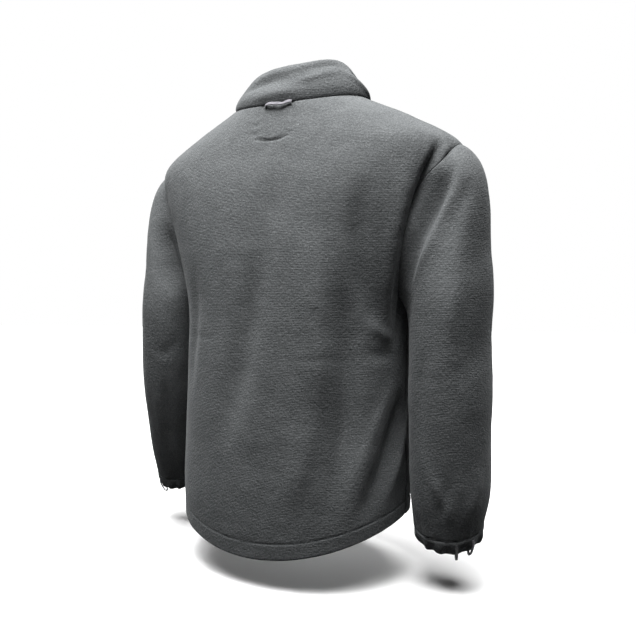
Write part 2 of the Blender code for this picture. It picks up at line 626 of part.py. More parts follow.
def sleeve_wall(name):
    phi = np.linspace(0.0, 2 * math.pi, 2 * ARMHOLE_ROWS, endpoint=False)
    last = len(SLEEVES[name][1])
    cap = np.linspace(0.0, 1.0, SLEEVE_CAP_ROWS + 1)
    rows = np.concatenate([cap, np.linspace(1.0, last, SLEEVE_ROWS - SLEEVE_CAP_ROWS + 1)[1:]])
    phi, row = np.meshgrid(phi, rows)
    outer = sleeve_face(name, phi, row)
    normal = sleeve_normal(name, phi, np.clip(row, 2 * STEP, last - 2 * STEP))
    normal[0] = armhole_normal(name, phi[0])
    outer[0] += unit(outer[1] - outer[0]) * HALF_GAP
    normal[-1] = level(normal[-1], arm_end(name))
    outer[-1] -= arm_end(name) * HALF_GAP
    inner = outer - normal * CLOTH
    return np.concatenate([outer, inner[::-1]])


def cuff_face(name, phi, share):
    """A cuff's outer face: share 0 is its seam and 1 its edge.  The elastic draws it into gathers."""
    phi, share = np.broadcast_arrays(np.asarray(phi, float), np.asarray(share, float))
    wave = np.sin(CUFF_GATHERS * phi) + SLOW_SHARE * np.sin(SLOW_GATHERS * phi + 1.0)
    swell = CUFF_WAVE * wave * smooth_step(share / GATHERS_GROW) - CUFF_DRAW * share
    return sleeve_ring(name, phi, -1, drop=share * CUFF_HEIGHT, swell=swell)


def cuff_wall(name):
    phi = np.linspace(0.0, 2 * math.pi, CUFF_COLUMNS, endpoint=False)
    phi, share = np.meshgrid(phi, [HALF_GAP / CUFF_HEIGHT, 0.5, 1.0])
    outer = cuff_face(name, phi, share)
    normal = -SLEEVES[name][0] * normal_of(lambda p, r: cuff_face(name, p, r), phi, share)
    normal[0] = level(normal[0], arm_end(name))
    inner = outer - normal * CUFF_CLOTH
    return np.concatenate([outer, inner[::-1]])


def collar_wall(angles):
    shares = np.linspace(0.0, 1.0, COLLAR_ROWS + 1)
    angle = np.repeat(angles[None, :], len(shares), axis=0)
    angle[:, 0] = near_zip(collar_form, shares, ZIP_OPENING / 2)
    angle[:, -1] = near_zip(collar_form, shares, -ZIP_OPENING / 2) + 2 * math.pi
    share = np.repeat(shares[:, None], len(angles), axis=1)
    outer = collar_face(angle, share)
    normal = normal_of(collar_face, angle, np.clip(share, 2 * STEP, 1.0))
    normal[0] = neck_normal(angle[0])
    outer[0] += unit(outer[1] - outer[0]) * HALF_GAP
    inner = outer - normal * COLLAR_CLOTH
    ridge = (outer[-1] + inner[-1]) / 2 + [0.0, 0.0, COLLAR_RIDGE]
    return np.concatenate([outer, ridge[None], inner[::-1]])


def zip_path(off):
    """Points down behind the front edges, `off` from the centre, with their outward normals and depths."""
    rows = body_rows()
    rows = rows[rows > TAPE_START]
    shares = np.linspace(0.0, TAPE_END, 5)[1:]
    low = near_zip(torso_form, rows, off)
    high = near_zip(collar_form, shares, off)
    points = np.concatenate([torso_face(low, rows), collar_face(high, shares)])
    normals = np.concatenate([normal_of(torso_face, low, rows), normal_of(collar_face, high, shares)])
    normals[len(rows) - 1] = neck_normal(low[-1])
    hem = hem_share(rows)
    cloth = CLOTH + (HEM_LAYERS - HEM_RISE - CLOTH) * hem
    cloth = cloth + (COLLAR_CLOTH - CLOTH) * smooth_step((rows - NECK_ROW + 1.0) / 1.0)
    depth = np.concatenate([cloth, np.full(len(shares), COLLAR_CLOTH)]) + SEAM_GAP
    return points, normals, depth + TAPE_EASE * (off / TAPE_HALF_WIDTH) ** 2


def tape_wall():
    outer, inner = [], []
    for off in (-TAPE_HALF_WIDTH, 0.0, TAPE_HALF_WIDTH):
        points, normals, depth = zip_path(off)
        outer.append(points - normals * depth[:, None])
        inner.append(points - normals * (depth + TAPE_CLOTH)[:, None])
    return np.stack(outer + inner[::-1])


def chain_wall(top):
    """The closed teeth as one strip on the tape, from the hem up to the slider's lower end."""
    edges = []
    for off, rise in ((-0.5, 0.0), (0.5, 0.0), (0.5, 1.0), (-0.5, 1.0)):
        points, normals, depth = zip_path(off * CHAIN_WIDTH)
        points = points - normals * (depth - SEAM_GAP - rise * CHAIN_DEPTH)[:, None]
        keep = points[:, 2] < top
        below, above = points[keep][-1], points[~keep][0]
        share = (top - below[2]) / (above[2] - below[2])
        edges.append(np.vstack([points[keep], below + (above - below) * share]))
    return np.stack(edges)


def strip(path, wide, thick):
    """A strip along path: wide and thick are the vectors of its half width and half thickness."""
    return np.stack([path - wide - thick, path + wide - thick, path + wide + thick, path - wide + thick])


def slider_frame():
    """The slider's middle on the front of the collar, with its width, length and outward directions."""
    middle = collar_face(-math.pi / 2, SLIDER_SHARE)
    outward = normal_of(collar_form, -math.pi / 2, SLIDER_SHARE)
    across = np.array([1.0, 0.0, 0.0])
    outward = unit(outward * [0.0, 1.0, 1.0])
    return middle, across, np.cross(outward, across), outward


def place(frame, points):
    """Points given as (across, along, outward) from the slider's middle."""
    middle, across, along, outward = frame
    points = np.asarray(points, float)
    return middle + points[:, :1] * across + points[:, 1:2] * along + points[:, 2:] * outward


def cell_mesh(cuts, filled):
    """The skin of the filled cells of a box grid.  cuts holds its planes along each axis."""
    sizes = [len(cut) for cut in cuts]
    faces, used = [], {}

    def corner(i, j, k):
        return used.setdefault((i, j, k), len(used))

    for cell in sorted(filled):
        for axis in range(3):
            for step in (0, 1):
                beside = list(cell)
                beside[axis] += 2 * step - 1
                if tuple(beside) in filled:
                    continue
                u, v = (axis + 1) % 3, (axis + 2) % 3
                ring = []
                for du, dv in ((0, 0), (1, 0), (1, 1), (0, 1)):
                    knot = list(cell)
                    knot[axis] += step
                    knot[u] += du
                    knot[v] += dv
                    ring.append(corner(*knot))
                faces.append(tuple(ring if step else ring[::-1]))
    points = np.array([[cuts[a][index[a]] for a in range(3)] for index in used], float)
    return points, faces


def slider_mesh(frame):
    """A plate with an arch over it for the pull's bar."""
    half, arch = SLIDER_WIDTH / 2, ARCH_WIDTH / 2
    across = (-half, -arch, arch, half)
    along = (-SLIDER_LENGTH / 2, -ARCH_END, -ARCH_HOLE, ARCH_HOLE, ARCH_END, SLIDER_LENGTH / 2)
    out = (SLIDER_BACK, SLIDER_FRONT, ARCH_ROOM, ARCH_TOP)
    filled = {(i, j, 0) for i in range(3) for j in range(5)}
    filled |= {(1, 1, 1), (1, 3, 1), (1, 1, 2), (1, 2, 2), (1, 3, 2)}
    points, faces = cell_mesh((across, along, out), filled)
    ends = np.abs(points[:, 1]) > ARCH_END + 1e-9
    upper, lower = SLIDER_NARROW
    points[ends, 0] *= np.where(points[ends, 1] > 0, upper, lower)
    return place(frame, points), faces


def pull_mesh(frame):
    """A flat tab that hangs from a bar, with a window for the arch.  Its bar is the hinge."""
    outer = [(x, y) for x, y in PULL_OUTLINE] + [(-x, y) for x, y in PULL_OUTLINE[-2:0:-1]]
    inner = [(x, y) for x, y in PULL_WINDOW] + [(-x, y) for x, y in PULL_WINDOW[-2:0:-1]]
    count = len(outer)
    points = []
    for level in (-PULL_THICK / 2, PULL_THICK / 2):
        points += [(x, y + PULL_ALONG, level + PULL_OUT) for x, y in outer]
        points += [(x, y + PULL_ALONG, level + PULL_OUT) for x, y in inner]
    faces = []
    for i in range(count):
        n = (i + 1) % count
        low_out, low_in = (i, n), (count + i, count + n)
        high_out, high_in = (2 * count + i, 2 * count + n), (3 * count + i, 3 * count + n)
        faces.append((low_out[0], low_in[0], low_in[1], low_out[1]))
        faces.append((high_out[0], high_out[1], high_in[1], high_in[0]))
        faces.append((low_out[0], low_out[1], high_out[1], high_out[0]))
        faces.append((low_in[0], high_in[0], high_in[1], low_in[1]))
    points = place(frame, points)
    if sum(signed_volume(points - points[0], face) for face in faces) < 0:
        faces = [face[::-1] for face in faces]
    return points, faces


def hanger_wall():
    """The hanging loop: a narrow tape along the collar seam at the centre back, standing off it."""
    share = np.linspace(0.0, 1.0, 13)
    angle = np.radians(HANGER_FROM + (HANGER_TO - HANGER_FROM) * share)
    seam = torso_face(angle, NECK_ROW)
    outward = unit(seam * [1.0, 1.0, 0.0])
    off = HANGER_OFF + HANGER_BOW * np.sin(math.pi * share) + HANGER_RIPPLE * np.sin(5 * math.pi * share)
    height = HANGER_DROP * np.sin(3 * math.pi * share + 0.6)
    path = seam + outward * off[:, None] + height[:, None] * [0.0, 0.0, 1.0]
    upward = unit(np.array([0.0, 0.0, 1.0]) - HANGER_LEAN * outward)
    return strip(path, upward * HANGER_WIDTH / 2, outward * HANGER_CLOTH / 2)


def cuff_loop_wall(name, phi):
    """A small loop of flat tape: down over the cuff, round in a U below its edge and up inside it."""
    face = cuff_face(name, math.radians(phi), np.array([LOOP_TOP, (1.0 + LOOP_TOP) / 2, 1.0]))
    edge = face[-1]
    down = unit(edge - face[1])
    inward = unit(sleeve_ring(name, np.array(0.0), -1) + sleeve_ring(name, np.array(math.pi), -1) - 2 * edge)
    inward = unit(inward - down * np.dot(inward, down))
    half = CUFF_CLOTH / 2 + LOOP_OFF + LOOP_EASE
    turn = np.linspace(0.0, math.pi, 12)
    bend = np.outer(-np.cos(turn) * half, inward) + np.outer(np.sin(turn) ** 0.8 * LOOP_LENGTH, down)
    bend = edge + inward * (CUFF_CLOTH / 2 + LOOP_EASE) + bend
    path = np.concatenate([face[:-1] - inward * LOOP_OFF, bend, bend[-1:] - down * LOOP_INSIDE])
    beside = np.cross(inward, down)
    tangent = unit(np.gradient(path, axis=0))
    return strip(path, beside * LOOP_WIDTH / 2, np.cross(tangent, beside) * LOOP_CLOTH / 2)


def main():
    for item in list(bpy.data.objects):
        bpy.data.objects.remove(item, do_unlink=True)
    fleece = add_material("fleece", (0.105, 0.112, 0.115), 0.95)
    rib = add_material("elastic_binding", (0.030, 0.031, 0.032), 0.85)
    tape = add_material("zip_tape", (0.020, 0.021, 0.022), 0.85)
    teeth = add_material("zip_teeth", (0.018, 0.018, 0.019), 0.45)
    metal = add_material("painted_slider", (0.022, 0.022, 0.023), 0.40, 0.6)

    rows, cuts = panels()
    for name, (angle, edges) in cuts.items():
        add_object(name, *closed_mesh(body_wall(angle, rows, edges), False), fleece)
    for name in SLEEVES:
        add_object("sleeve_" + name, *closed_mesh(sleeve_wall(name), True), fleece)
        add_object("cuff_" + name, *closed_mesh(cuff_wall(name), True), fleece)
    seam = [cuts["front_left"][0][-1], cuts["back"][0][-1][1:], cuts["front_right"][0][-1][1:]]
    add_object("collar", *closed_mesh(collar_wall(np.concatenate(seam)), False), fleece)

    frame = slider_frame()
    add_object("zip_tape", *closed_mesh(tape_wall(), False), tape)
    top = place(frame, [(0.0, -SLIDER_LENGTH / 2 - CHAIN_CLEAR, 0.0)])[0][2]
    add_object("zip_chain", *closed_mesh(chain_wall(top), False), teeth)
    add_object("zip_slider", *slider_mesh(frame), metal)
    pivot = place(frame, [(0.0, PULL_ALONG, PULL_OUT)])[0]
    add_object("zip_pull", *pull_mesh(frame), metal, pivot)
    add_object("hanger_loop", *closed_mesh(hanger_wall(), False), rib)
    for name, places in CUFF_LOOPS.items():
        for number, phi in enumerate(places, 1):
            add_object(f"cuff_loop_{name}_{number}", *closed_mesh(cuff_loop_wall(name, phi), False), rib)


if __name__ == "__main__":
    main()
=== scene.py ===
"""The fleece liner jacket with its cloth, seams, stitches, zip and loops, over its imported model.

Metres, +Z up. The wearer faces -Y, and the origin is the middle of the neck opening.
"""

import math

import bmesh
import bpy
import numpy as np
from mathutils import Matrix, Vector
from mathutils.kdtree import KDTree


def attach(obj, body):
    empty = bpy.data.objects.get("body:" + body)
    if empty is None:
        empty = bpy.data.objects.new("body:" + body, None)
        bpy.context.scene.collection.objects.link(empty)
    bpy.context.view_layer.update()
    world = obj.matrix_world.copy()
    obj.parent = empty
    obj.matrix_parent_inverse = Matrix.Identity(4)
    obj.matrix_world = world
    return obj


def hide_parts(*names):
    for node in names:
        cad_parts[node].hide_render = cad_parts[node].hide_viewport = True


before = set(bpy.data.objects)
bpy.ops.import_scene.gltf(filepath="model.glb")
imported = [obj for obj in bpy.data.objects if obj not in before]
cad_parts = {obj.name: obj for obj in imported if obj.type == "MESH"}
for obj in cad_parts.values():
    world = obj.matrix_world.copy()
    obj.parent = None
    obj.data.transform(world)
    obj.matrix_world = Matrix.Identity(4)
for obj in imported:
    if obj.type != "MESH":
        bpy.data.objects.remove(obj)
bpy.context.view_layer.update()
MM = 0.001
UP = np.array([0.0, 0.0, 1.0])
LEVEL = np.array([1.0, 1.0, 0.0])

# ---------------------------------------------------------------- sizes
CLOTH = 0.0024  # fleece, one layer
HEM_LAYERS = 0.0042  # the turned-up hem, two layers pressed together
COLLAR_CLOTH = 0.0046  # the collar is cut double
SEAM_GAP = 0.0003  # between two pieces that are sewn together
HEM_DEPTH = 0.024  # height of the turned-up hem
HEM_PUFF = 0.0002  # how far it stands out from the cloth above it
ZIP_OPENING = 0.0084  # between the two front edges

# The cuffs: narrow bands that elastic draws in
CUFF_HEIGHT = 0.021
CUFF_GATHERS = 13
CUFF_WAVE = 0.0013  # how far the gathers stand out
CUFF_DRAW = 0.0045  # how far the edge is drawn in
CUFF_PUFF = 0.0012  # how far the band swells between its seam and its edge
CUFF_TUCK = 0.0012  # how far its first row lies under the sleeve's end
CUFF_CLOTH = 0.0030
CUFF_TURN = 0.93  # share of its height at which the wall starts to turn over

# The zip: a woven tape behind the front edges, the closed teeth and the slider
TAPE_HALF_WIDTH = 0.014
TAPE_CLOTH = 0.0008
TAPE_EASE = 0.0005  # the tape's edges stand this much further from the fronts
TAPE_START = 0.05  # body rows above the hem edge
TAPE_END = 0.93  # share of the collar's height
SLIDER_SHARE = 0.80  # of the collar's height
TEETH_STOP = SLIDER_SHARE - 0.10
TOOTH_PITCH = 2.55 * MM
TOOTH_REACH = 2.45 * MM  # from the middle of the chain to a tooth's middle
STITCH_LIFT = 0.15 * MM  # the thread's middle above the cloth

# The hanging loop on the collar seam, in degrees round the neck
HANGER_FROM, HANGER_TO = 82.0, 104.0
HANGER_WIDTH = 0.0058
HANGER_CLOTH = 0.0010
HANGER_OFF = 0.0020  # from the cloth, at its sewn ends
HANGER_BOW = 0.0035  # further off in the middle
HANGER_CRUMPLE = 0.0022
HANGER_DROP = 0.0014  # below the seam, and how unevenly

# Small loops under the cuffs' edges, by their place round the sleeve
CUFF_LOOPS = {"right": (34.6, 62.3), "left": (34.6, 62.3)}
GREY_LOOP = {"right": 1, "left": 2}  # this one is grey tape and the other black elastic
LOOP_TOP = 0.12  # share of the cuff's height at which the tape starts
LOOP_LENGTH = 0.0115  # below the edge
LOOP_INSIDE = 0.0030  # up inside the cuff
LOOP_WIDTH = 0.0030
LOOP_CLOTH = 0.0020
LOOP_OFF = 0.0015  # from the cuff to the middle of the tape

# ---------------------------------------------------------------- sections
# A section of the body is an oval: half_width to each side, `back` and
# `front` from its middle, which lies at `middle` along Y.  power 2 is an
# ellipse and more is squarer.  side_lift and front_lift raise its sides and
# its front above `height`, which is taken at the centre back, and left_lift
# tips it up to the left.
# Columns: height, half_width, back, front, middle, power, side_lift, front_lift, left_lift
TORSO = (
    (-0.630, 0.176, 0.142, 0.128, 0.000, 2.25, 0.046, 0.030, -0.004),  # hem edge
    (-0.560, 0.177, 0.142, 0.128, 0.002, 2.25, 0.034, 0.022, -0.003),  # hip
    (-0.470, 0.174, 0.139, 0.124, 0.003, 2.25, 0.014, 0.008, -0.001),  # waist
    (-0.380, 0.173, 0.137, 0.123, 0.002, 2.25, 0.002, 0.000, 0.000),  # below the chest
    (-0.287, 0.175, 0.136, 0.126, -0.002, 2.25, 0.000, 0.000, 0.000),  # armpit
    (-0.200, 0.201, 0.132, 0.124, -0.004, 2.20, 0.000, -0.004, 0.000),  # shoulder blades
    (-0.122, 0.234, 0.120, 0.114, -0.004, 2.10, 0.002, -0.022, 0.000),  # top of the chest
    (-0.070, 0.243, 0.104, 0.106, -0.003, 2.00, 0.003, -0.044, 0.000),  # shoulder tip
    (-0.037, 0.179, 0.092, 0.099, -0.001, 2.00, 0.012, -0.062, 0.000),  # middle of the shoulder
    (-0.004, 0.105, 0.080, 0.090, 0.000, 2.00, 0.015, -0.078, 0.000),  # neck seam
)
ARMPIT_ROW, TIP_ROW, NECK_ROW = 4.0, 7.0, 9.0
# How far round from the side the armhole's edge reaches behind and in front, in degrees
ARMHOLES = {"right": (29.0, 34.0), "left": (22.0, 36.0)}
ARMHOLE_POWER = 0.9  # 1 makes an oval armhole and less a squarer one

# A section of a sleeve is an oval round its own middle (out from the body's
# centre plane, back, up), `across` and `deep` wide to each side.  tilt is how
# far the section's plane is turned up from level, and lean how far the arm
# goes forward there.
# Columns: out, back, up, across, deep, power, tilt, lean
RIGHT_SLEEVE = (
    (0.231, -0.002, -0.263, 0.067, 0.0745, 2.1, 38.0, 2.0),  # under the armpit
    (0.2345, 0.000, -0.337, 0.0535, 0.0735, 2.2, 14.0, 3.0),  # upper arm
    (0.2365, 0.002, -0.401, 0.0545, 0.070, 2.2, 4.0, 4.0),  # elbow
    (0.2375, 0.002, -0.466, 0.0535, 0.065, 2.2, 0.0, 5.0),  # forearm
    (0.2390, -0.001, -0.535, 0.0530, 0.060, 2.2, 0.0, 8.0),  # above the wrist
    (0.2375, -0.004, -0.581, 0.0470, 0.0520, 2.1, 0.0, 15.0),  # cuff seam
)
LEFT_SLEEVE = (
    (0.227, -0.004, -0.265, 0.062, 0.0720, 2.1, 38.0, 2.0),
    (0.2310, -0.006, -0.333, 0.0520, 0.073, 2.2, 14.0, 5.0),
    (0.2360, -0.010, -0.396, 0.0510, 0.069, 2.2, 4.0, 8.0),
    (0.2420, -0.020, -0.458, 0.0490, 0.063, 2.2, 0.0, 12.0),
    (0.2510, -0.035, -0.526, 0.0450, 0.055, 2.2, 0.0, 15.0),
    (0.2570, -0.047, -0.577, 0.0410, 0.0460, 2.1, 0.0, 16.0),
)
SLEEVES = {"right": (-1.0, RIGHT_SLEEVE), "left": (1.0, LEFT_SLEEVE)}


def unit(vectors):
    return vectors / np.linalg.norm(vectors, axis=-1, keepdims=True)


def paired(a, b):
    """Two numbers or arrays as arrays of one shape."""
    return np.broadcast_arrays(np.asarray(a, float), np.asarray(b, float))


def smooth_curve(first, second, slope_first, slope_second, share):
    """The cubic from first to second that has those slopes at its ends."""
    square, cube = share**2, share**3
    return (
        (2 * cube - 3 * square + 1) * first
        + (cube - 2 * square + share) * slope_first
        + (3 * square - 2 * cube) * second
        + (cube - square) * slope_second
    )


def smooth_row(table, at):
    """The table's rows read at fractional places `at`, on a smooth curve through them."""
    rows = np.asarray(table, float)
    at = np.asarray(at, float)
    low = np.clip(np.floor(at).astype(int), 0, len(rows) - 2)
    share = (at - low)[..., None]
    before = rows[np.maximum(low - 1, 0)]
    first, second = rows[low], rows[low + 1]
    after = rows[np.minimum(low + 2, len(rows) - 1)]
    slope_first, slope_second = (second - before) / 2.0, (after - first) / 2.0
    slope_first = np.where((low == 0)[..., None], second - first, slope_first)
    slope_second = np.where((low == len(rows) - 2)[..., None], second - first, slope_second)
    return smooth_curve(first, second, slope_first, slope_second, share)


def oval(angle, power):
    """(cos, sin) of `angle` moved out to a rounded square of that power."""
    c, s = np.cos(angle), np.sin(angle)
    out = (np.abs(c) ** power + np.abs(s) ** power) ** (-1.0 / power)
    return c * out, s * out


def torso_form(angle, row):
    """The body's form before the folds.  angle 0 is the wearer's left side, pi/2 the centre back."""
    columns = np.moveaxis(smooth_row(TORSO, row), -1, 0)
    height, half_width, back, front, middle, power, side_lift, front_lift, left_lift = columns
    c, s = oval(angle, power)
    x = half_width * c
    y = middle + np.where(s > 0, back, front) * s
    z = height + side_lift * np.cos(angle) ** 2 + front_lift * np.minimum(np.sin(angle), 0.0) ** 2
    z = z + left_lift * np.cos(angle)
    return np.stack([x, y, z], axis=-1)


# ---------------------------------------------------------------- folds
# Each row is one soft fold: a line over the cloth from its start to its end,
# `around` in degrees and `up` as a height, bowed sideways by `bow`.  width is
# its half width, side makes one flank steeper (above 1, the far flank is the
# wider one) and rise is how far it stands out (a trough is negative).
# Columns: around, up, to_around, to_up, bow, width, to_width, side, rise
BODY_RADIUS = 0.165  # turns degrees round the body into distance
SLEEVE_RADIUS = 0.062
BODY_FOLDS = (
    (155, -0.058, 152, -0.176, -0.007, 0.0065, 0.0065, 1.3, -0.0110),  # trough over the right armhole
    (149, -0.115, 166, -0.280, -0.006, 0.0060, 0.0060, 1.3, -0.0090),  # the same trough along the seam
    (157, -0.225, 164, -0.346, 0.014, 0.009, 0.008, 1.0, -0.0045),  # its end at the armpit
    (162, -0.064, 155, -0.130, -0.006, 0.009, 0.008, 1.0, 0.0045),  # roll between two troughs
    (142, -0.080, 161, -0.350, -0.010, 0.017, 0.016, 0.6, 0.0085),  # roll of the back beside the trough
    (124, -0.105, 150, -0.325, -0.013, 0.013, 0.011, 1.3, -0.0075),  # hollow below the shoulder blade
    (141, -0.298, 163, -0.331, -0.004, 0.009, 0.007, 1.0, 0.0026),  # short ridge up from the armpit
    (140, -0.343, 166, -0.348, -0.003, 0.012, 0.010, 1.0, -0.0022),  # hollow under it
    (168, -0.368, 134, -0.564, -0.012, 0.010, 0.012, 1.6, 0.0040),  # edge of the turned plane
    (177, -0.386, 140, -0.582, -0.003, 0.012, 0.014, 1.3, -0.0090),  # pull from the armpit to the hem
    (189, -0.406, 156, -0.559, -0.002, 0.010, 0.010, 1.0, 0.0050),  # ridge at the side seam
    (97, -0.060, 88, -0.290, 0.005, 0.018, 0.020, 1.0, -0.0040),  # long hollow from the neck
    (92, -0.190, 75, -0.500, 0.005, 0.021, 0.018, 1.0, -0.0105),  # the same hollow at the left hip
    (108, -0.155, 119, -0.480, 0.021, 0.028, 0.026, 0.5, 0.0090),  # long ridge in the middle
    (120, -0.406, 108, -0.568, 0.006, 0.022, 0.020, 0.6, 0.0045),  # its lower end
    (128, -0.230, 127, -0.580, 0.020, 0.016, 0.016, 1.2, -0.0105),  # hollow right of the middle
    (56, -0.200, 46, -0.440, -0.004, 0.014, 0.014, 1.0, -0.0040),  # hollow down the left side
    (36, -0.330, 72, -0.333, 0.001, 0.005, 0.005, 1.0, -0.0006),  # faint creases from storage
    (106, -0.358, 140, -0.357, 0.003, 0.005, 0.005, 1.0, -0.0005),
    (-38, -0.110, -32, -0.270, 0.012, 0.014, 0.015, 1.2, -0.0060),  # left front armhole
    (-52, -0.130, -44, -0.300, 0.010, 0.018, 0.018, 1.0, 0.0050),
    (-20, -0.330, -52, -0.560, 0.002, 0.020, 0.024, 1.0, -0.0070),  # pull to the left front hem
    (-44, -0.350, -66, -0.570, 0.004, 0.020, 0.022, 1.0, 0.0045),
    (-74, -0.250, -78, -0.520, 0.008, 0.018, 0.020, 1.0, -0.0035),
    (219, -0.105, 213, -0.265, -0.012, 0.014, 0.014, 1.2, -0.0065),  # right front armhole
    (233, -0.140, 226, -0.310, -0.009, 0.017, 0.018, 1.0, 0.0050),
    (203, -0.345, 230, -0.565, -0.004, 0.020, 0.022, 1.0, -0.0065),  # pull to the right front hem
    (222, -0.360, 246, -0.575, -0.002, 0.019, 0.022, 1.0, 0.0045),
    (252, -0.210, 257, -0.470, -0.007, 0.018, 0.018, 1.0, -0.0035),
)
RIGHT_SLEEVE_FOLDS = (
    (66, -0.110, 112, -0.228, 0.002, 0.0060, 0.0050, 1.0, 0.0040),  # roll between two troughs
    (44, -0.088, 132, -0.268, -0.004, 0.0046, 0.0040, 2.4, -0.0115),  # trough behind the shoulder
    (34, -0.082, 127, -0.268, -0.004, 0.0130, 0.0110, 0.4, 0.0046),  # crisp roll beyond it
    (96, -0.206, 154, -0.330, 0.004, 0.012, 0.012, 1.3, -0.0030),  # hollow beside its lower end
    (32, -0.106, 82, -0.212, 0.003, 0.012, 0.012, 1.0, -0.0045),  # hollow under the roll
    (53, -0.180, 78, -0.401, 0.005, 0.016, 0.016, 1.0, 0.0028),  # soft ridge down the arm
    (108, -0.313, 106, -0.496, 0.008, 0.013, 0.013, 1.0, -0.0035),  # hollow down the inside
    (16, -0.312, 75, -0.391, -0.001, 0.016, 0.015, 1.0, -0.0014),  # elbow
    (-28, -0.150, -84, -0.262, -0.004, 0.014, 0.014, 1.0, -0.0050),  # front of the shoulder
    (-60, -0.330, -66, -0.500, 0.004, 0.015, 0.015, 1.0, 0.0032),
    (-20, -0.420, -72, -0.480, 0.003, 0.012, 0.012, 1.0, -0.0034),
    (104, -0.480, 68, -0.572, 0.003, 0.010, 0.008, 1.0, 0.0022),  # slants above the cuff
    (74, -0.490, 96, -0.572, -0.005, 0.009, 0.008, 1.0, -0.0022),
    (30, -0.478, 54, -0.572, -0.006, 0.010, 0.008, 1.0, 0.0022),
)
LEFT_SLEEVE_FOLDS = (
    (82, -0.135, 128, -0.277, -0.001, 0.018, 0.018, 1.0, -0.0100),  # hollow along the armhole
    (136, -0.324, 84, -0.361, 0.018, 0.013, 0.012, 1.0, -0.0022),  # elbow
    (88, -0.390, 94, -0.541, 0.003, 0.010, 0.009, 1.0, 0.0022),  # ridge down the forearm
    (112, -0.390, 118, -0.540, -0.001, 0.009, 0.008, 1.0, -0.0022),  # hollow beside it
    (-24, -0.160, -80, -0.250, -0.004, 0.014, 0.014, 1.0, -0.0045),  # front of the shoulder
    (-30, -0.345, -88, -0.395, 0.005, 0.013, 0.012, 1.0, -0.0040),  # inside of the elbow
    (-34, -0.392, -84, -0.440, 0.004, 0.013, 0.012, 1.0, 0.0034),
)
SLEEVE_FOLDS = {"right": RIGHT_SLEEVE_FOLDS, "left": LEFT_SLEEVE_FOLDS}
FOLD_TAPER = 0.42  # share of a fold's length over which each end dies away
FOLDS_START, FOLDS_STOP = 0.16, 0.25  # sleeve rows over which the folds grow and die away at its seams


def smooth_step(x):
    x = np.clip(x, 0.0, 1.0)
    return x * x * (3.0 - 2.0 * x)


def relief(around, up, folds, radius):
    """How far the folds lift the cloth at each place, in metres."""
    total = np.zeros(np.broadcast(around, up).shape)
    for start, low, end, high, bow, width, to_width, side, rise in folds:
        run = np.array([math.radians(end - start) * radius, high - low])
        length = np.linalg.norm(run)
        along_dir = run / length
        du, dz = (around - math.radians(start)) * radius, up - low
        share = (du * along_dir[0] + dz * along_dir[1]) / length
        off = -du * along_dir[1] + dz * along_dir[0]
        inside = np.clip(share, 0.0, 1.0)
        off = off - bow * 4.0 * inside * (1.0 - inside)
        half = width + (to_width - width) * inside
        half = np.where(off > 0, half * side, half)
        fade = smooth_step(share / FOLD_TAPER) * smooth_step((1.0 - share) / FOLD_TAPER)
        total = total + rise * fade * np.exp(-((off / half) ** 2))
    return total


# ---------------------------------------------------------------- faces
STEP = 1e-3  # for slopes taken by differences


def normal_of(face, a, b):
    """The outward normal of face(a, b), by differences."""
    along_a = face(a + STEP, b) - face(a - STEP, b)
    along_b = face(a, b + STEP) - face(a, b - STEP)
    return unit(np.cross(along_a, along_b))


def torso_face(angle, row):
    """The outer face of the body's cloth, with its folds."""
    angle, row = paired(angle, row)
    form = torso_form(angle, row)
    lift = relief(angle, form[..., 2], BODY_FOLDS, BODY_RADIUS)
    return form + normal_of(torso_form, angle, row) * lift[..., None]


def armhole_row(phi):
    """The body row of the armhole's edge: phi 0 is the shoulder tip and pi the armpit."""
    return ARMPIT_ROW + (TIP_ROW - ARMPIT_ROW) * (1.0 + np.cos(phi)) / 2.0


def armhole_reach(name, phi):
    """How far round the body from its side the armhole's edge lies, in radians, behind positive."""
    back, front = ARMHOLES[name]
    turn = np.sin(phi)
    reach = np.where(turn > 0, back, front)
    return np.radians(reach) * np.sign(turn) * np.abs(turn) ** ARMHOLE_POWER


def armhole_place(name, phi):
    """The armhole's edge as an angle and a row of the body."""
    reach = armhole_reach(name, phi)
    angle = reach if SLEEVES[name][0] > 0 else math.pi - reach
    return angle, armhole_row(phi)


def armhole_point(name, phi):
    return torso_face(*armhole_place(name, phi))


def sleeve_ring(name, phi, index, drop=0.0, swell=0.0):
    """A point of one of a sleeve's own sections, or of one moved down the arm by `drop`."""
    side, sections = SLEEVES[name]
    out, back, up, across, deep, power, tilt, lean = sections[index]
    c, s = oval(phi, power)
    tilt, lean = math.radians(tilt), math.radians(lean)
    outward = np.array([side * math.cos(tilt), 0.0, math.sin(tilt)])
    backward = np.array([0.0, math.cos(lean), -math.sin(lean)])
    down = -np.cross(outward, backward) * side
    wide = (across + swell) * c
    long = (deep + swell) * s
    middle = np.array([side * out, back, up]) + np.asarray(drop)[..., None] * down
    return middle + wide[..., None] * outward + long[..., None] * backward


START_DROP = 42.0  # how steeply the sleeve leaves the armhole at its back and front, in degrees
START_TURN = 15.0  # less than that at the shoulder tip and more at the armpit
START_BACK = 0.12  # how far it leaves it backward at the back and forward in front


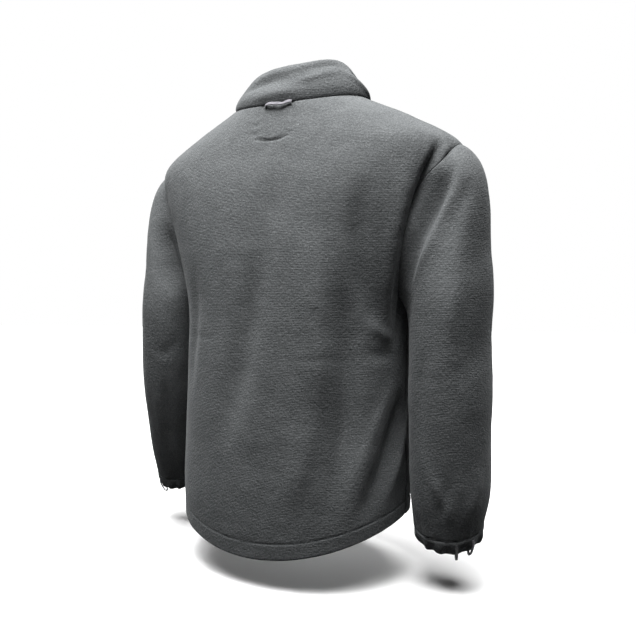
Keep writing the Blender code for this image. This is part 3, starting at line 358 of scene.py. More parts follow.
def sleeve_form(name, phi, row):
    """The sleeve before its folds: row 0 is the armhole's seam and the last row the cuff seam."""
    side, sections = SLEEVES[name]
    phi, row = paired(phi, row)
    last = len(sections)
    keys = [armhole_point(name, phi)]
    keys += [sleeve_ring(name, phi, index) for index in range(last)]
    keys = np.stack(keys)
    slopes = np.empty_like(keys)
    slopes[1:-1] = (keys[2:] - keys[:-2]) / 2.0
    slopes[-1] = keys[-1] - keys[-2]
    drop = np.radians(START_DROP - START_TURN * np.cos(phi))
    start = np.stack([side * np.cos(drop), START_BACK * np.sin(phi), -np.sin(drop)], axis=-1)
    reach = np.linalg.norm(keys[1] - keys[0], axis=-1, keepdims=True)
    slopes[0] = unit(start) * reach
    low = np.clip(np.floor(row).astype(int), 0, last - 1)
    share = (row - low)[..., None]

    def pick(values, index):
        return np.take_along_axis(values, index[None, ..., None], axis=0)[0]

    ends = pick(keys, low), pick(keys, low + 1)
    return smooth_curve(*ends, pick(slopes, low), pick(slopes, low + 1), share)


def sleeve_face(name, phi, row):
    """The outer face of a sleeve, with its folds, which start from nothing at the armhole."""
    side, sections = SLEEVES[name]
    phi, row = paired(phi, row)

    def form(p, r):
        return sleeve_form(name, p, r)

    base = form(phi, row)
    turn = np.mod(phi + math.pi / 2, 2 * math.pi) - math.pi / 2
    lift = relief(turn, base[..., 2], SLEEVE_FOLDS[name], SLEEVE_RADIUS)
    lift = lift * smooth_step(row / FOLDS_START) * smooth_step((len(sections) - row) / FOLDS_STOP)
    return base - side * normal_of(form, phi, row) * lift[..., None]


def sleeve_normal(name, phi, row):
    side = SLEEVES[name][0]
    return -side * normal_of(lambda p, r: sleeve_face(name, p, r), phi, row)


# The collar's outer face: each row lies `rise` above the neck seam and `inset`
# inside it at the back and sides, and less than that in front.
# Columns: rise, inset
COLLAR = (
    (0.000, 0.0000),
    (0.014, 0.0006),
    (0.028, 0.0054),
    (0.042, 0.0126),
    (0.056, 0.0210),
)
COLLAR_FRONT_INSET = 0.2917  # share of the inset that is left at the centre front
COLLAR_BACK_INSET = 0.70  # and at the centre back
COLLAR_SAG, SAG_AT = 0.38, 22.0  # the sides sink by this share, most at this place and opposite it
COLLAR_BACK_RISE = 0.97  # the collar is a little lower behind
COLLAR_FOLDS = (
    (60, 0.012, 122, 0.014, 0.001, 0.008, 0.008, 1.0, 0.0022),  # lower roll at the back
    (36, 0.032, 118, 0.033, 0.003, 0.008, 0.009, 1.0, -0.0032),  # hollow over it
    (44, 0.048, 158, 0.050, 0.001, 0.005, 0.005, 1.0, 0.0014),  # rolled top edge
    (98, 0.028, 152, 0.040, -0.002, 0.005, 0.005, 1.0, 0.0018),
    (104, 0.044, 160, 0.046, 0.002, 0.004, 0.004, 1.0, -0.0014),
    (158, 0.052, 208, 0.012, 0.001, 0.0065, 0.006, 1.0, -0.0065),  # slanting crease on the right
    (144, 0.044, 204, 0.002, -0.003, 0.007, 0.006, 1.0, 0.0028),  # roll below it
    (-40, 0.020, -10, 0.038, 0.001, 0.009, 0.009, 1.0, -0.0020),
    (214, 0.034, 236, 0.018, 0.001, 0.009, 0.009, 1.0, -0.0020),
)
COLLAR_RADIUS = 0.09


def collar_form(angle, share):
    """The collar before its folds: share 0 is the neck seam and 1 the top edge."""
    angle, share = paired(angle, share)
    seam = torso_face(angle, NECK_ROW)
    rise, inset = np.moveaxis(smooth_row(COLLAR, share * (len(COLLAR) - 1)), -1, 0)
    front, behind = np.clip(-np.sin(angle), 0.0, 1.0), np.clip(np.sin(angle), 0.0, 1.0)
    eased = (1.0 - COLLAR_FRONT_INSET) * front**2 + (1.0 - COLLAR_BACK_INSET) * behind**2
    inset = inset * (1.0 - eased)
    rise = rise * (COLLAR_BACK_RISE + (1.0 - COLLAR_BACK_RISE) * front)
    sag = COLLAR_SAG * np.cos(angle - math.radians(SAG_AT)) ** 4 * (1.0 - front**2) ** 2
    rise = rise * (1.0 - sag)
    inward = -unit(seam * LEVEL)
    return seam + inward * inset[..., None] + rise[..., None] * UP


def collar_face(angle, share):
    angle, share = paired(angle, share)
    lift = relief(angle, share * COLLAR[-1][0], COLLAR_FOLDS, COLLAR_RADIUS)
    return collar_form(angle, share) + normal_of(collar_form, angle, share) * lift[..., None]


def armhole_normal(name, phi):
    """The direction in which the body's and the sleeve's cloth are mitred at the armhole."""
    body = normal_of(torso_face, *armhole_place(name, phi))
    return unit(body + sleeve_normal(name, phi, 2 * STEP))


def neck_normal(angle):
    body = normal_of(torso_face, angle, NECK_ROW - 2 * STEP)
    return unit(body + normal_of(collar_face, angle, 2 * STEP))


# ---------------------------------------------------------------- cloth detail
HALF_GAP = SEAM_GAP / 8  # sewn edges are drawn almost touching
HEM_SHARE = HEM_DEPTH / (TORSO[1][0] - TORSO[0][0])  # the turned-up hem in body rows
GRAIN_CODES = np.array([73856093, 19349663, 83492791])


def grain(points, size, seed):
    """A smooth uneven swell between -1 and 1, whose humps are about `size` wide."""
    at = np.asarray(points, float) / size
    low = np.floor(at).astype(np.int64)
    share = smooth_step(at - low)
    total = np.zeros(at.shape[:-1])
    for corner in range(8):
        step = np.array([corner & 1, corner >> 1 & 1, corner >> 2])
        code = ((low + step) @ GRAIN_CODES + seed * 2654435761) % 4294967296
        code = (code ^ (code >> 13)) * 1274126177 % 4294967296
        code = (code ^ (code >> 16)) % 65536
        weight = np.prod(np.where(step, share, 1.0 - share), axis=-1)
        total += weight * (code / 32768.0 - 1.0)
    return total


def run_along(points):
    """The length along a line of points up to each of them."""
    return np.concatenate([[0.0], np.cumsum(np.linalg.norm(np.diff(points, axis=0), axis=1))])


def read_along(values, length, at):
    """Rows of values, one for each length along a line, read at other lengths."""
    return np.stack([np.interp(at, length, values[:, axis]) for axis in range(3)], axis=-1)


def trace(points):
    """A line over the cloth that other places are measured from."""
    points = np.asarray(points, float)
    length = run_along(points)
    fine = np.linspace(0.0, length[-1], int(length[-1] / MM) + 2)
    line = read_along(points, length, fine)
    tree = KDTree(len(line))
    for index, point in enumerate(line):
        tree.insert(point, index)
    tree.balance()
    return tree, fine


def beside(points, line):
    """How far each point lies from that line, and how far along the line."""
    tree, fine = line
    found = [tree.find(point)[1:] for point in points.reshape(-1, 3)]
    index, off = np.array(found).T
    return off.reshape(points.shape[:-1]), fine[index.astype(int)].reshape(points.shape[:-1])


def seam_relief(points, seams):
    """The groove that each seam pulls into the cloth, and the puckers beside it."""
    total = np.zeros(points.shape[:-1])
    for line, depth, width, pucker, reach, pitch in seams:
        off, along = beside(points, line)
        total -= depth * np.exp(-((off / width) ** 2))
        wave = grain(np.stack([along, 0 * along, 0 * along], axis=-1), pitch, 5)
        total += pucker * wave * np.exp(-off / reach) * (1.0 - np.exp(-((off / width) ** 2)))
    return total


def slack(points):
    """The cloth's own unevenness, away from its folds."""
    swell = 0.0005 * grain(points, 0.062, 11) + 0.0004 * grain(points, 0.031, 12)
    return swell + 0.0002 * grain(points, 0.013, 13)


def around_body(row, count=720):
    return torso_face(np.linspace(0.0, 2 * math.pi, count), row)


def side_angle(name):
    return 0.0 if SLEEVES[name][0] > 0 else math.pi


def side_line(name):
    """The side seam, from the hem to the armpit."""
    return torso_face(side_angle(name), np.linspace(0.0, ARMPIT_ROW, 160))


def shoulder_line(name):
    """The shoulder seam, from the sleeve to the neck."""
    return torso_face(side_angle(name), np.linspace(TIP_ROW, NECK_ROW, 80))


ROUND = np.linspace(0.0, 2 * math.pi, 361)
# Each seam is a line, with its depth, half width, pucker, and that pucker's reach and pitch
ARMHOLE_SEAM, SIDE_SEAM, SHOULDER_SEAM = {}, {}, {}
for name in SLEEVES:
    ARMHOLE_SEAM[name] = (trace(armhole_point(name, ROUND)), 0.0003, 0.0016, 0.0003, 0.007, 0.009)
    SIDE_SEAM[name] = (trace(side_line(name)), 0.0010, 0.0020, 0.0004, 0.006, 0.011)
    SHOULDER_SEAM[name] = (trace(shoulder_line(name)), 0.0008, 0.0020, 0.0003, 0.006, 0.010)
NECK_SEAM = (trace(around_body(NECK_ROW)), 0.0011, 0.0017, 0.0004, 0.005, 0.008)
HEM_STITCH = (trace(around_body(HEM_SHARE, 1200)), 0.0006, 0.0013, 0.0005, 0.008, 0.0085)
BODY_SEAMS = [*ARMHOLE_SEAM.values(), *SIDE_SEAM.values(), *SHOULDER_SEAM.values()]
BODY_SEAMS += [NECK_SEAM, HEM_STITCH]


def body_skin(angle, row):
    """The body's outer face as it shows, and its normals."""
    angle, row = paired(angle, row)
    face, normal = torso_face(angle, row), normal_of(torso_face, angle, row)
    return face + normal * (slack(face) + seam_relief(face, BODY_SEAMS))[..., None], normal


def hem_share(rows):
    """1 in the turned-up hem and 0 above it."""
    return 1.0 - smooth_step((rows - HEM_SHARE + 0.03) / 0.06)


# ---------------------------------------------------------------- making meshes
def signed_volume(points, faces):
    p = points[faces]
    return np.sum(p[:, 0] * np.cross(p[:, 1] - p[:, 0], p[:, 2] - p[:, 0])) + np.sum(
        p[:, 0] * np.cross(p[:, 2] - p[:, 0], p[:, 3] - p[:, 0])
    )


def add_piece(name, points, faces, material, uv=None):
    """A mesh object at the origin, with a UV map in metres over the cloth."""
    mesh = bpy.data.meshes.new(name)
    mesh.from_pydata([tuple(p) for p in points], [], [tuple(f) for f in faces])
    mesh.materials.append(material)
    mesh.polygons.foreach_set("use_smooth", [True] * len(mesh.polygons))
    if uv is not None:
        layer = mesh.uv_layers.new(name="cloth")
        index = np.empty(len(mesh.loops), np.int32)
        mesh.loops.foreach_get("vertex_index", index)
        layer.data.foreach_set("uv", np.asarray(uv, float)[index].ravel())
    mesh.update()
    item = bpy.data.objects.new(name, mesh)
    bpy.context.scene.collection.objects.link(item)
    return item


def lay_out(grid):
    """A flat place in metres for each point of a grid over the cloth."""
    steps = np.linalg.norm(np.diff(grid, axis=1), axis=-1)
    across = np.concatenate([np.zeros((len(grid), 1)), np.cumsum(steps, axis=1)], axis=1)
    middle = grid[:, grid.shape[1] // 2]
    along = np.repeat(run_along(middle)[:, None], grid.shape[1], axis=1)
    return np.stack([across - across.mean(axis=1, keepdims=True), along], axis=-1)


ARC_ROWS = 4  # rows of points in a rounded edge


def wall(name, outer, normal, thick, material, ring=False, round_low=False, round_high=False):
    """A closed wall of cloth from its outer face.

    round_low and round_high turn its first and last edges over.  A ring goes all the way round.
    """
    thick = np.broadcast_to(np.asarray(thick, float), outer.shape[:2])
    inner = outer - normal * thick[..., None]
    flat = lay_out(outer)
    rows, flats = [outer], [flat]

    def turn_over(row, beside_row):
        away = unit(outer[row] - outer[beside_row])
        middle, half = (outer[row] + inner[row]) / 2, thick[row][:, None] / 2
        side = unit(outer[row] - inner[row])
        turns = np.linspace(0.0, math.pi, ARC_ROWS + 2)[1:-1]
        return np.stack([middle + half * (side * math.cos(t) + away * math.sin(t)) for t in turns])

    if round_high:
        arc = turn_over(-1, -2)
        rows.append(arc)
        flats.append(np.repeat(flat[-1:], len(arc), axis=0))
    rows.append(inner[::-1])
    flats.append(flat[::-1])
    if round_low:
        arc = turn_over(0, 1)[::-1]
        rows.append(arc)
        flats.append(np.repeat(flat[:1], len(arc), axis=0))
    profile, flat = np.concatenate(rows), np.concatenate(flats)
    count, columns = profile.shape[:2]
    index = np.arange(count * columns).reshape(count, columns)
    wide = columns if ring else columns - 1
    following = np.roll(index, -1, axis=1)
    lower, next_lower = index[:, :wide], following[:, :wide]
    upper, next_upper = np.roll(lower, -1, axis=0), np.roll(next_lower, -1, axis=0)
    faces = np.stack([lower, next_lower, next_upper, upper], axis=-1).reshape(-1, 4)
    points = profile.reshape(-1, 3)
    flip = signed_volume(points, faces) < 0
    faces = [tuple(f[::-1] if flip else f) for f in faces.tolist()]
    if not ring:
        high = len(outer)
        arc_high = ARC_ROWS if round_high else 0
        last = 2 * high + arc_high - 1
        for column, turned in ((0, not flip), (columns - 1, flip)):
            line = index[:, column]
            caps = [(line[i], line[i + 1], line[last - 1 - i], line[last - i]) for i in range(high - 1)]
            if round_high:
                caps.append(tuple(line[high - 1 : high + arc_high + 1]))
            if round_low:
                caps.append((*line[last:], line[0]))
            faces += [tuple(int(i) for i in (cap if turned else cap[::-1])) for cap in caps]
    return add_piece(name, points, faces, material, flat.reshape(-1, 2))


# ---------------------------------------------------------------- finishes
def linear(code):
    """An sRGB hex colour as linear values."""
    parts = [int(code[i : i + 2], 16) / 255.0 for i in (0, 2, 4)]
    return (*[p / 12.92 if p <= 0.04045 else ((p + 0.055) / 1.055) ** 2.4 for p in parts], 1.0)


def shade(colour, share):
    """A linear colour made darker or paler."""
    return tuple(share * c for c in colour[:3]) + (1.0,)


def add_node(tree, kind, inputs=None, **settings):
    """A node with its settings, and its inputs set to a value or linked to a socket."""
    node = tree.nodes.new("ShaderNode" + kind)
    for key, value in settings.items():
        setattr(node, key, value)
    for key, value in (inputs or {}).items():
        if isinstance(value, bpy.types.NodeSocket):
            tree.links.new(value, node.inputs[key])
        else:
            node.inputs[key].default_value = value
    return node


def new_finish(name, inputs):
    finish = bpy.data.materials.new(name)
    finish.use_nodes = True
    tree = finish.node_tree
    shader = tree.nodes["Principled BSDF"]
    for key, value in inputs.items():
        shader.inputs[key].default_value = value
    return finish, tree, shader


def ramp(tree, value, stops):
    node = add_node(tree, "ValToRGB", {"Fac": value})
    while len(node.color_ramp.elements) < len(stops):
        node.color_ramp.elements.new(0.5)
    for element, (at, colour) in zip(node.color_ramp.elements, stops):
        element.position, element.color = at, colour
    return node.outputs["Color"]


def connect(tree, shader, colour, height, strength, depth, **settings):
    """Give the shader its colour and a bump from that height, `depth` metres deep."""
    tree.links.new(colour, shader.inputs["Base Color"])
    raised = {"Height": height, "Strength": strength, "Distance": depth}
    bump = add_node(tree, "Bump", raised, **settings)
    tree.links.new(bump.outputs["Normal"], shader.inputs["Normal"])


WAVE_BAND = 0.314  # metres between the bands of a wave texture of scale 1


def polar_fleece():
    """Polyester polar fleece: a short brushed and pilled knit, dull, with a pale sheen."""
    gloss = {"Roughness": 1.0, "Specular IOR Level": 0.12}
    gloss |= {"Sheen Weight": 0.14, "Sheen Roughness": 0.4, "Sheen Tint": linear("DEE2E4")}
    finish, tree, shader = new_finish("polar_fleece", gloss)
    place = add_node(tree, "TexCoord").outputs["Object"]
    # the pile's tufts are about 1 mm, drawn at 1.9 mm so that they show
    fine = {"Vector": place, "Scale": 1 / 0.0019, "Detail": 3.0, "Roughness": 0.65}
    tufts = add_node(tree, "TexNoise", fine).outputs["Fac"]
    # the pile clots into pills about 3 mm apart, and the dye and wear vary over a few centimetres
    round_pills = {"Vector": place, "Scale": 1 / 0.0034, "Randomness": 1.0}
    pills = add_node(tree, "TexVoronoi", round_pills, feature="SMOOTH_F1").outputs["Distance"]
    broad = {"Vector": place, "Scale": 1 / 0.022, "Detail": 4.0, "Roughness": 0.6}
    patchy = add_node(tree, "TexNoise", broad).outputs["Fac"]
    part = add_node(tree, "Math", {0: patchy, 1: 0.22}, operation="MULTIPLY").outputs[0]
    half = add_node(tree, "Math", {0: tufts, 1: 0.78, 2: part}, operation="MULTIPLY_ADD").outputs[0]
    shades = [(0.30, linear("464849")), (0.50, linear("565859")), (0.70, linear("6A6C6D"))]
    cloth = ramp(tree, half, shades)
    # a few specks of lint, a millimetre across
    sparse = {"Vector": place, "Scale": 1 / 0.030, "Randomness": 1.0}
    lint = add_node(tree, "TexVoronoi", sparse, feature="F1").outputs["Distance"]
    speck = add_node(tree, "Math", {0: lint, 1: 0.018}, operation="LESS_THAN").outputs[0]
    colours = {"Factor": speck, "A": cloth, "B": linear("B9BDBD")}
    colour = add_node(tree, "Mix", colours, data_type="RGBA").outputs["Result"]
    # faint courses of the knit under the pile, about 2 mm apart
    level_rows = {"Vector": place, "Scale": WAVE_BAND / 0.0022, "Distortion": 3.0}
    level_rows |= {"Detail": 2.0, "Detail Scale": 1.4}
    courses = add_node(tree, "TexWave", level_rows, bands_direction="Z").outputs["Fac"]
    pile = add_node(tree, "Math", {0: courses, 1: -0.20, 2: pills}, operation="MULTIPLY_ADD").outputs[0]
    height = add_node(tree, "Math", {0: pile, 1: tufts}, operation="SUBTRACT").outputs[0]
    connect(tree, shader, colour, height, 0.55, 0.0011, invert=True)
    return finish


def woven(name, code, pitch, sheen):
    """Woven polyester tape or elastic: cross ribs about twice `pitch` apart, with a slight gloss."""
    gloss = {"Roughness": 0.72, "Specular IOR Level": 0.3}
    gloss |= {"Sheen Weight": sheen, "Sheen Roughness": 0.4}
    finish, tree, shader = new_finish(name, gloss)
    flat = add_node(tree, "TexCoord").outputs["UV"]
    cross_ribs = {"Vector": flat, "Scale": 1 / pitch / 6.283, "Distortion": 1.0, "Detail": 1.0}
    ribs = add_node(tree, "TexWave", cross_ribs, bands_direction="Y").outputs["Fac"]
    threads = {"Vector": flat, "Scale": 1 / pitch / 9.0, "Distortion": 0.6}
    weave = add_node(tree, "TexWave", threads, bands_direction="X").outputs["Fac"]
    both = add_node(tree, "Math", {0: ribs, 1: weave}, operation="ADD").outputs[0]
    half = add_node(tree, "Math", {0: both, 1: 0.5}, operation="MULTIPLY").outputs[0]
    base = linear(code)
    shades = [(0.25, shade(base, 0.55)), (0.55, base), (0.85, shade(base, 1.35))]
    connect(tree, shader, ramp(tree, half, shades), half, 0.5, 0.0004)
    return finish


def moulded(name, code, roughness, size, depth, metallic=0.0):
    """Moulded polyacetal or enamelled zinc: smooth, with a faint unevenness in its gloss."""
    finish, tree, shader = new_finish(name, {"Metallic": metallic})
    place = add_node(tree, "TexCoord").outputs["Object"]
    soft = {"Vector": place, "Scale": 1 / size, "Detail": 3.0, "Roughness": 0.6}
    cloud = add_node(tree, "TexNoise", soft).outputs["Fac"]
    base = linear(code)
    shades = [(0.35, base), (0.75, shade(base, 1.5))]
    connect(tree, shader, ramp(tree, cloud, shades), cloud, 0.3, depth)
    uneven = {"Value": cloud, "To Min": roughness - 0.08, "To Max": roughness + 0.10}
    gloss = add_node(tree, "MapRange", uneven).outputs["Result"]
    tree.links.new(gloss, shader.inputs["Roughness"])
    return finish


# ---------------------------------------------------------------- the body
BACK_ACROSS, FRONT_ACROSS, SLEEVE_DOWN, COLLAR_UP = 140, 64, 176, 26
ARMHOLE_STEPS = 84


def armhole_at(row):
    share = np.clip((row - ARMPIT_ROW) / (TIP_ROW - ARMPIT_ROW), 0.0, 1.0)
    return np.arccos(2.0 * share - 1.0)


def fine_rows():
    """The body's rows about 3 mm apart, with one along each edge of the hem's stitching."""
    below = np.linspace(0.06, HEM_SHARE - 0.05, 7)
    hem = np.concatenate([[0.028], below, HEM_SHARE + np.linspace(-0.03, 0.03, 5)])
    side = np.linspace(hem[-1], ARMPIT_ROW, 108)[1:]
    hole = armhole_row(np.linspace(math.pi, 0.0, ARMHOLE_STEPS + 1))[1:]
    return np.concatenate([hem, side, hole, np.linspace(TIP_ROW, NECK_ROW, 48)[1:]])


def panel_edge(name, behind, rows):
    phi = armhole_at(rows)
    reach = armhole_reach(name, phi if behind else -phi)
    return reach if SLEEVES[name][0] > 0 else math.pi - reach


def near_zip(form, rows, off):
    """The angle that lies `off` from the centre front of that form, in each row."""
    middle = np.full_like(rows, -math.pi / 2)
    pace = np.linalg.norm(form(middle + STEP, rows) - form(middle - STEP, rows), axis=-1) / (2 * STEP)
    return middle + off / pace


def body_panel(name, angle, rows, edges, material):
    """A panel of the body: edges names the armholes that its first and last columns meet."""
    row = np.repeat(rows[:, None], angle.shape[1], axis=1)
    outer = torso_face(angle, row)
    normal = normal_of(torso_face, angle, row)
    normal[-1] = neck_normal(angle[-1])
    shift = np.zeros_like(outer)
    for column, side, behind in edges:
        across = unit(outer[:, 1 if column == 0 else -2] - outer[:, column])
        phi = armhole_at(rows) * (1 if behind else -1)
        hole = (rows >= ARMPIT_ROW - 1e-9) & (rows <= TIP_ROW + 1e-9)
        normal[hole, column] = armhole_normal(side, phi[hole])
        sewn = (rows <= ARMPIT_ROW + 1e-9) | (rows >= TIP_ROW - 1e-9)
        shift[sewn, column] += across[sewn] * HALF_GAP
        along = armhole_point(side, phi[hole] + STEP) - armhole_point(side, phi[hole] - STEP)
        away = unit(np.cross(normal[hole, column], along))
        middle = armhole_point(side, ROUND[:-1:15]).mean(axis=0)
        outside = np.sign(np.sum(away * (outer[hole, column] - middle), axis=-1, keepdims=True))
        shift[hole, column] += away * outside * HALF_GAP
    shift[-1] += unit(outer[-2] - outer[-1]) * HALF_GAP
    lift = slack(outer) + seam_relief(outer, BODY_SEAMS)
    hem = hem_share(row)
    outer = outer + shift + normal * (lift + HEM_PUFF * hem)[..., None]
    return wall(name, outer, normal, CLOTH + (HEM_LAYERS - CLOTH) * hem, material, round_low=True)


def spread(low, high, count, crowd):
    """Columns from low to high in every row, closer together at the ends where crowd is above 0."""
    share = np.linspace(0.0, 1.0, count + 1)
    share = share - crowd * np.sin(2 * math.pi * share) / (2 * math.pi)
    return low[:, None] + (high - low)[:, None] * share


def make_body(material):
    rows = fine_rows()
    zip_left = near_zip(torso_form, rows, ZIP_OPENING / 2)
    zip_right = near_zip(torso_form, rows, -ZIP_OPENING / 2) + 2 * math.pi
    back = spread(panel_edge("left", True, rows), panel_edge("right", True, rows), BACK_ACROSS, 0.3)
    left = spread(zip_left, panel_edge("left", False, rows), FRONT_ACROSS, 0.0)
    right = spread(panel_edge("right", False, rows), zip_right, FRONT_ACROSS, 0.0)
    made = [
        body_panel("cloth_back", back, rows, ((0, "left", True), (-1, "right", True)), material),
        body_panel("cloth_front_left", left, rows, ((-1, "left", False),), material),
        body_panel("cloth_front_right", right, rows, ((0, "right", False),), material),
    ]
    neck = np.concatenate([left[-1], back[-1][1:], right[-1][1:]])
    return made, neck


# ---------------------------------------------------------------- the sleeves
def sleeve_lift(name, points):
    """The sleeve's unevenness, its seams and the puckers over the gathered cuff."""
    last = len(SLEEVES[name][1])
    under_arm = trace(sleeve_face(name, math.pi, np.linspace(0.0, last, 200)))
    cuff_seam = trace(sleeve_face(name, ROUND, last))
    seams = [ARMHOLE_SEAM[name], (under_arm, 0.0010, 0.0020, 0.0004, 0.006, 0.010)]
    seams.append((cuff_seam, 0.0016, 0.0020, 0.0014, 0.014, 0.0075))
    return slack(points) + seam_relief(points, seams)


def arm_end(name):
    """The direction down the arm at the cuff seam."""
    lean = math.radians(SLEEVES[name][1][-1][-1])
    return np.array([0.0, -math.sin(lean), -math.cos(lean)])


def level(normals, down):
    return unit(normals - np.sum(normals * down, axis=-1, keepdims=True) * down)


def make_sleeve(name, material):
    last = len(SLEEVES[name][1])
    phi = np.linspace(0.0, 2 * math.pi, 2 * ARMHOLE_STEPS, endpoint=False)
    rows = np.linspace(0.0, 1.0, 52) ** 1.15
    rows = np.concatenate([rows, np.linspace(1.0, last, SLEEVE_DOWN - 51)[1:]])
    phi, row = np.meshgrid(phi, rows)
    outer = sleeve_face(name, phi, row)
    normal = sleeve_normal(name, phi, np.clip(row, 2 * STEP, last - 2 * STEP))
    normal[0] = armhole_normal(name, phi[0])
    normal[-1] = level(normal[-1], arm_end(name))
    lift = sleeve_lift(name, outer)
    outer[0] += unit(outer[1] - outer[0]) * HALF_GAP
    outer[-1] -= arm_end(name) * HALF_GAP
    outer = outer + normal * lift[..., None]
    return wall("cloth_sleeve_" + name, outer, normal, CLOTH, material, ring=True)


def cuff_face(name, phi, share):
    """A cuff's outer face, in uneven gathers: share 0 is its seam and 1 its edge."""
    phi, share = paired(phi, share)
    wave = np.sin(CUFF_GATHERS * phi) + 0.35 * np.sin(5 * phi + 1.0)
    turn = np.stack([np.cos(phi), np.sin(phi), 0.12 * share], axis=-1) * 0.05
    wave = wave + 0.8 * grain(turn, 0.007, 21)
    swell = CUFF_WAVE * wave * smooth_step(1.6 * share) - CUFF_DRAW * share
    swell = swell + CUFF_PUFF * np.sin(math.pi * share)
    return sleeve_ring(name, phi, -1, drop=share * CUFF_HEIGHT, swell=swell)


def make_cuff(name, material):
    shares = np.linspace(HALF_GAP / CUFF_HEIGHT, CUFF_TURN, 10)
    phi, share = np.meshgrid(np.linspace(0.0, 2 * math.pi, 280, endpoint=False), shares)
    outer = cuff_face(name, phi, share)
    normal = -SLEEVES[name][0] * normal_of(lambda p, r: cuff_face(name, p, r), phi, share)
    normal[0] = level(normal[0], arm_end(name))
    outer[0] -= normal[0] * CUFF_TUCK
    return wall("cloth_cuff_" + name, outer, normal, CUFF_CLOTH, material, ring=True, round_high=True)


# ---------------------------------------------------------------- the collar
def make_collar(angles, material):
    shares = np.concatenate([np.linspace(0.0, 0.2, 8), np.linspace(0.2, 1.0, COLLAR_UP - 7)[1:]])
    fine = np.interp(np.linspace(0, len(angles) - 1, 420), np.arange(len(angles)), angles)
    angle = np.repeat(fine[None, :], len(shares), axis=0)
    angle[:, 0] = near_zip(collar_form, shares, ZIP_OPENING / 2)
    angle[:, -1] = near_zip(collar_form, shares, -ZIP_OPENING / 2) + 2 * math.pi
    share = np.repeat(shares[:, None], angle.shape[1], axis=1)
    outer = collar_face(angle, share)
    normal = normal_of(collar_face, angle, np.clip(share, 2 * STEP, 1.0))
    normal[0] = neck_normal(angle[0])
    lift = 0.8 * slack(outer) + seam_relief(outer, [NECK_SEAM])
    outer[0] += unit(outer[1] - outer[0]) * HALF_GAP
    outer = outer + normal * lift[..., None]
    return wall("cloth_collar", outer, normal, COLLAR_CLOTH, material, round_high=True)


# ---------------------------------------------------------------- tapes and loops
def tape(name, path, across, thick, material):
    """A flat tape along path.  across holds half its width as a vector at each point."""
    corner = 0.25  # share of half the thickness that the tape's edges keep flat
    tangent = unit(np.gradient(path, axis=0))
    through = unit(np.cross(tangent, across)) * thick / 2
    upper = [(-1, corner), (-0.93, 0.9), (-0.4, 1), (0.4, 1), (0.93, 0.9), (1, corner)]
    shape = [(-1, -corner), *upper, (1, -corner), (0.93, -0.9), (0.4, -1), (-0.4, -1), (-0.93, -0.9)]
    grid = np.stack([path + u * across + v * through for u, v in shape], axis=1)
    rows, columns = grid.shape[:2]
    index = np.arange(rows * columns).reshape(rows, columns)
    following = np.roll(index, -1, axis=1)
    faces = np.stack([index[:-1], following[:-1], following[1:], index[1:]], -1).reshape(-1, 4)
    points = grid.reshape(-1, 3)
    faces = faces.tolist() + [index[0, ::-1].tolist(), index[-1].tolist()]
    body = np.array(faces[:-2])
    if signed_volume(points, body) < 0:
        faces = [face[::-1] for face in faces]
    along = run_along(path)
    half = np.linalg.norm(across, axis=-1)
    flat = np.stack([np.stack([u * half, along], axis=-1) for u, v in shape], axis=1)
    return add_piece(name, points, faces, material, flat.reshape(-1, 2))


def make_hanger(material):
    """The hanging loop, a crumpled length of narrow tape along the collar seam."""
    share = np.linspace(0.0, 1.0, 90)
    angle = np.radians(HANGER_FROM + (HANGER_TO - HANGER_FROM) * share)
    seam = torso_face(angle, NECK_ROW)
    outward = unit(seam * LEVEL)
    free = np.sin(math.pi * share)  # 0 at the sewn ends
    off = HANGER_OFF + HANGER_BOW * free**0.6 + HANGER_CRUMPLE * grain(seam, 0.006, 31) * free
    height = 0.0009 * np.sin(2.4 * math.pi * share + 0.6)
    height = height - HANGER_DROP + HANGER_DROP * grain(seam, 0.007, 33)
    path = seam + outward * off[:, None] + height[:, None] * UP
    lean = 0.45 + 0.80 * grain(seam, 0.006, 32)
    upward = unit(UP - lean[:, None] * outward)
    return tape("hanging_loop", path, upward * (HANGER_WIDTH / 2), HANGER_CLOTH, material)


def loop_path(name, phi, count):
    """A cuff loop's line: down over the cuff, round in a U below its edge and up inside it."""
    face = cuff_face(name, math.radians(phi), np.linspace(LOOP_TOP, 0.92, count))
    edge, upper = face[-1], cuff_face(name, math.radians(phi), 0.6)
    down = unit(edge - upper)
    ring = [sleeve_ring(name, np.array(turn), -1) for turn in (0.0, math.pi)]
    inward = unit(ring[0] + ring[1] - 2 * edge)
    inward = unit(inward - down * np.dot(inward, down))
    half = CUFF_CLOTH / 2 + LOOP_OFF
    turn = np.linspace(0.0, math.pi, count)
    bend = edge + inward * CUFF_CLOTH / 2 + np.outer(-np.cos(turn) * half, inward)
    bend = bend + np.outer(np.sin(turn) ** 0.8 * LOOP_LENGTH, down)
    inside = bend[-1] - np.outer(np.linspace(0.0, LOOP_INSIDE, 5)[1:], down)
    return np.concatenate([face[:-1] - inward * LOOP_OFF, bend, inside]), np.cross(inward, down)


def make_cuff_loop(name, number, phi, material):
    path, beside_it = loop_path(name, phi, 24)
    across = np.repeat(beside_it[None] * LOOP_WIDTH / 2, len(path), axis=0)
    return tape(f"cuff_loop_tape_{name}_{number}", path, across, LOOP_CLOTH, material)


